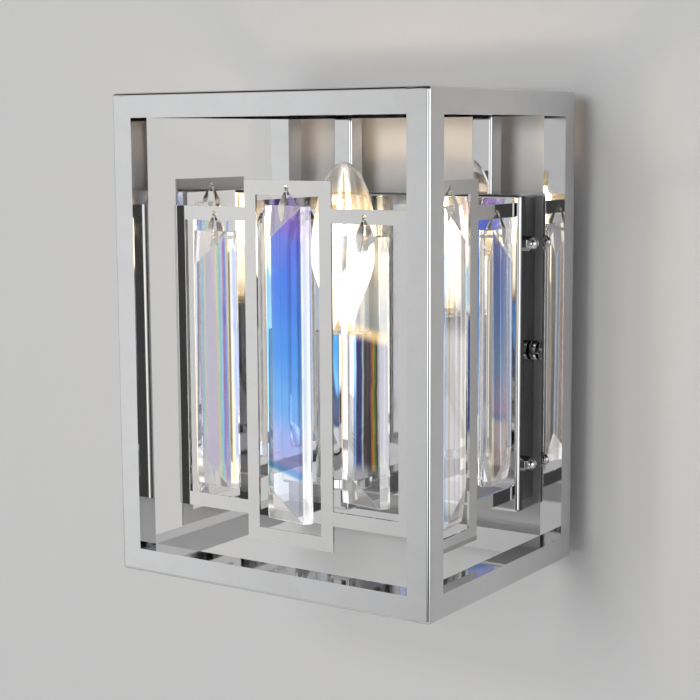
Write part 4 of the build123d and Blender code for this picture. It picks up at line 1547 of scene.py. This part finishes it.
# ============================================================================ all together
class Split(Enum):
    """How each crystal splits the light, from the photograph, painted on its faces as tint and glow, dark bands
    included.
    """

    PASTEL = Spectrum(
        ((0.0, CLEAR), (0.06, (0.12, 0.30, 1.0)), (0.10, (0.80, 0.90, 1.0)), (0.14, (0.78, 0.76, 0.87)),
         (0.58, (0.82, 0.79, 0.90)), (0.64, (1.0, 0.93, 0.50)), (0.70, (0.30, 0.88, 0.85)),
         (0.75, (0.55, 0.75, 1.0)), (0.79, (1.0, 0.40, 0.45)), (0.84, (0.16, 0.36, 1.0)),
         (0.90, (1.0, 0.86, 0.42)), (1.0, CLEAR)),
        0.96, slant=0.05, broken=0.30)
    BLUE = Spectrum(
        ((0.0, CLEAR), (0.05, (1.0, 0.90, 0.62)), (0.10, CLEAR), (0.13, (0.45, 0.85, 0.80)),
         (0.17, (0.9, 0.95, 1.0)), (0.78, (0.85, 0.88, 1.0)), (0.84, (0.60, 0.64, 0.72)),
         (0.89, (0.82, 0.82, 0.84)), (0.93, (0.44, 0.45, 0.48)), (1.0, (0.72, 0.72, 0.72))),
        0.9, slant=0.0, broken=0.25,
        along=((0.15, CLEAR), (0.165, (0.15, 0.50, 0.80)), (0.18, (0.72, 0.70, 0.88)),
               (0.25, (0.66, 0.72, 0.93)), (0.38, (0.42, 0.69, 0.93)), (0.54, (0.24, 0.57, 0.92)),
               (0.74, (0.22, 0.47, 0.90)), (0.88, (0.32, 0.42, 0.87)), (0.95, (0.50, 0.36, 0.80)),
               (1.0, (0.62, 0.48, 0.80))),
        along_strength=0.98, glow=0.22)
    STRIPED = Spectrum(
        ((0.0, CLEAR), (0.06, (0.55, 0.50, 0.42)), (0.10, (0.95, 0.62, 0.30)), (0.13, CLEAR), (0.33, CLEAR),
         (0.36, (0.30, 0.56, 1.0)), (0.39, (0.55, 0.70, 0.90)), (0.42, (0.03, 0.07, 0.34)),
         (0.51, (0.02, 0.05, 0.30)), (0.545, (0.80, 0.88, 1.0)), (0.58, (0.10, 0.08, 0.07)),
         (0.65, (0.20, 0.15, 0.11)), (0.70, (0.02, 0.03, 0.10)), (0.735, (0.98, 0.26, 0.02)),
         (0.77, (0.98, 0.78, 0.03)), (0.805, (0.30, 0.70, 0.20)), (0.84, (0.24, 0.05, 0.02)), (0.87, CLEAR),
         (1.0, CLEAR)),
        1.0, across_from=0.12, across_to=0.66, slant=0.0, broken=0.04, glow=0.20,
        lit=((0.0, (0.0, 0.0, 0.0)), (0.62, (0.0, 0.0, 0.0)), (0.655, (0.62, 0.40, 0.14)),
             (0.69, (0.16, 0.17, 0.15)), (0.80, (0.24, 0.22, 0.17)), (0.94, (0.34, 0.27, 0.16)),
             (1.0, (0.06, 0.04, 0.02))))
    GILDED = Spectrum(
        ((0.0, CLEAR), (0.08, (0.35, 0.55, 1.0)), (0.14, (0.85, 0.78, 1.0)), (0.22, CLEAR),
         (0.31, (0.50, 0.38, 0.26)), (0.37, CLEAR), (0.50, (0.80, 0.85, 1.0)), (0.58, (0.98, 0.80, 0.48)),
         (0.64, CLEAR), (0.72, (0.34, 0.27, 0.22)), (0.78, CLEAR), (0.86, (0.70, 0.84, 1.0)), (1.0, CLEAR)),
        0.9, slant=0.04, broken=0.45)
    PALE = Spectrum(
        ((0.0, CLEAR), (0.05, (0.16, 0.20, 0.34)), (0.10, (0.30, 0.52, 1.0)), (0.16, (0.62, 0.80, 1.0)),
         (0.22, CLEAR), (0.29, (0.55, 0.50, 0.42)), (0.33, CLEAR), (0.44, CLEAR), (0.49, (0.62, 0.62, 0.66)),
         (0.53, CLEAR), (0.66, (0.62, 0.66, 0.76)), (0.70, CLEAR), (0.84, (0.50, 0.44, 0.34)), (0.88, CLEAR),
         (1.0, CLEAR)),
        0.92, slant=0.02, broken=0.20, glow=0.14,
        lit=((0.0, (0.05, 0.05, 0.05)), (0.10, (0.24, 0.235, 0.23)), (0.58, (0.28, 0.27, 0.25)),
             (0.66, (0.02, 0.02, 0.02)), (1.0, (0.0, 0.0, 0.0))))
    SLATE = Spectrum(
        ((0.0, CLEAR), (0.10, (1.0, 0.88, 0.62)), (0.14, CLEAR), (0.18, (0.50, 0.40, 0.37)),
         (0.40, (0.54, 0.43, 0.40)), (0.43, (1.0, 0.97, 0.92)), (0.46, (0.9, 0.88, 0.85)),
         (0.49, (0.60, 0.50, 0.47)), (0.66, (0.64, 0.53, 0.50)), (0.69, (1.0, 0.95, 0.85)),
         (0.74, (0.55, 0.52, 0.50)), (0.79, (0.45, 0.68, 1.0)), (0.84, CLEAR), (0.90, (0.62, 0.62, 0.66)),
         (0.94, CLEAR), (1.0, CLEAR)),
        0.97, slant=0.08, broken=0.12, glow=0.12)


def crystal_sets(bail_material: bpy.types.Material, patterns: Patterns) -> list[HangingSet]:
    """The seven hanging sets, each with the light that its crystal splits.

    Args:
        bail_material: the bails' finish.
        patterns: where the crystals and bails are copied from.

    Returns:
        The sets.
    """
    plans = [("front_left", Facing.FRONT, Split.PASTEL, -1), ("front_middle", Facing.FRONT, Split.BLUE, -1),
             ("front_right", Facing.FRONT, Split.STRIPED, -1), ("left_tall", Facing.LEFT, Split.PASTEL, -1),
             ("left_small", Facing.LEFT, Split.GILDED, -1), ("right_tall", Facing.RIGHT, Split.PALE, 1),
             ("right_small", Facing.RIGHT, Split.SLATE, 1)]
    return [HangingSet(name, facing, split.value, bail_material, cut_side, patterns)
            for name, facing, split, cut_side in plans]


def main() -> None:
    """Builds every piece, in order."""
    Shared.make()
    chrome = PolishedMetal("tube_chrome", (0.635, 0.637, 0.645), 0.03)
    sheet = PolishedMetal("sheet_chrome", (0.66, 0.655, 0.645), 0.02)
    bails = PolishedMetal("bail_chrome", (0.74, 0.71, 0.66), 0.07)
    patterns = Patterns()
    BoxFrame(chrome, sheet).build()
    for hanging in crystal_sets(bails.make(), patterns):
        hanging.build()
    CandleBulb(ClearGlass("bulb_glass", (0.99, 0.985, 0.975),
                          ((0.0, (0.55, 0.40, 0.22)), (0.15, (1.0, 0.84, 0.56)), (0.55, (1.0, 0.88, 0.64)),
                           (0.80, (0.30, 0.19, 0.07)), (1.0, (0.0, 0.0, 0.0))), 0.015, 0.094, 0.6),
               PolishedMetal("cap_nickel", (0.78, 0.77, 0.74), 0.18),
               Glow("filament_glow", (1.0, 0.78, 0.46), 30.0)).build()
    zinc = PolishedMetal("zinc_plate", (0.62, 0.63, 0.62), 0.28, mark_roughness=0.15).make()
    brass = PolishedMetal("brass", (0.80, 0.64, 0.34), 0.2).make()
    holder = Moulded("holder_ceramic", (0.86, 0.84, 0.78), 0.45).make()
    terminal = Moulded("terminal_plastic", (0.82, 0.82, 0.80), 0.5).make()
    leads = WovenSleeve("lead_sleeve", (0.80, 0.76, 0.66)).make()
    chrome_parts = chrome.make()
    Fixings(chrome_parts, zinc, brass, patterns).build()
    patterns.clear()
    dress_node("lamp_base", chrome_parts)
    for node in ("wall_bracket", "cage_spacers", "lamp_nipple", "lamp_nut"):
        dress_node(node, zinc)
    for node in ("lamp_tongue", "lamp_shell"):
        dress_node(node, brass)
    dress_node("lamp_holder", holder)
    dress_node("terminal_block", terminal)
    dress_node("lamp_leads", leads)
    Studio().build()


if __name__ == "__main__":
    main()
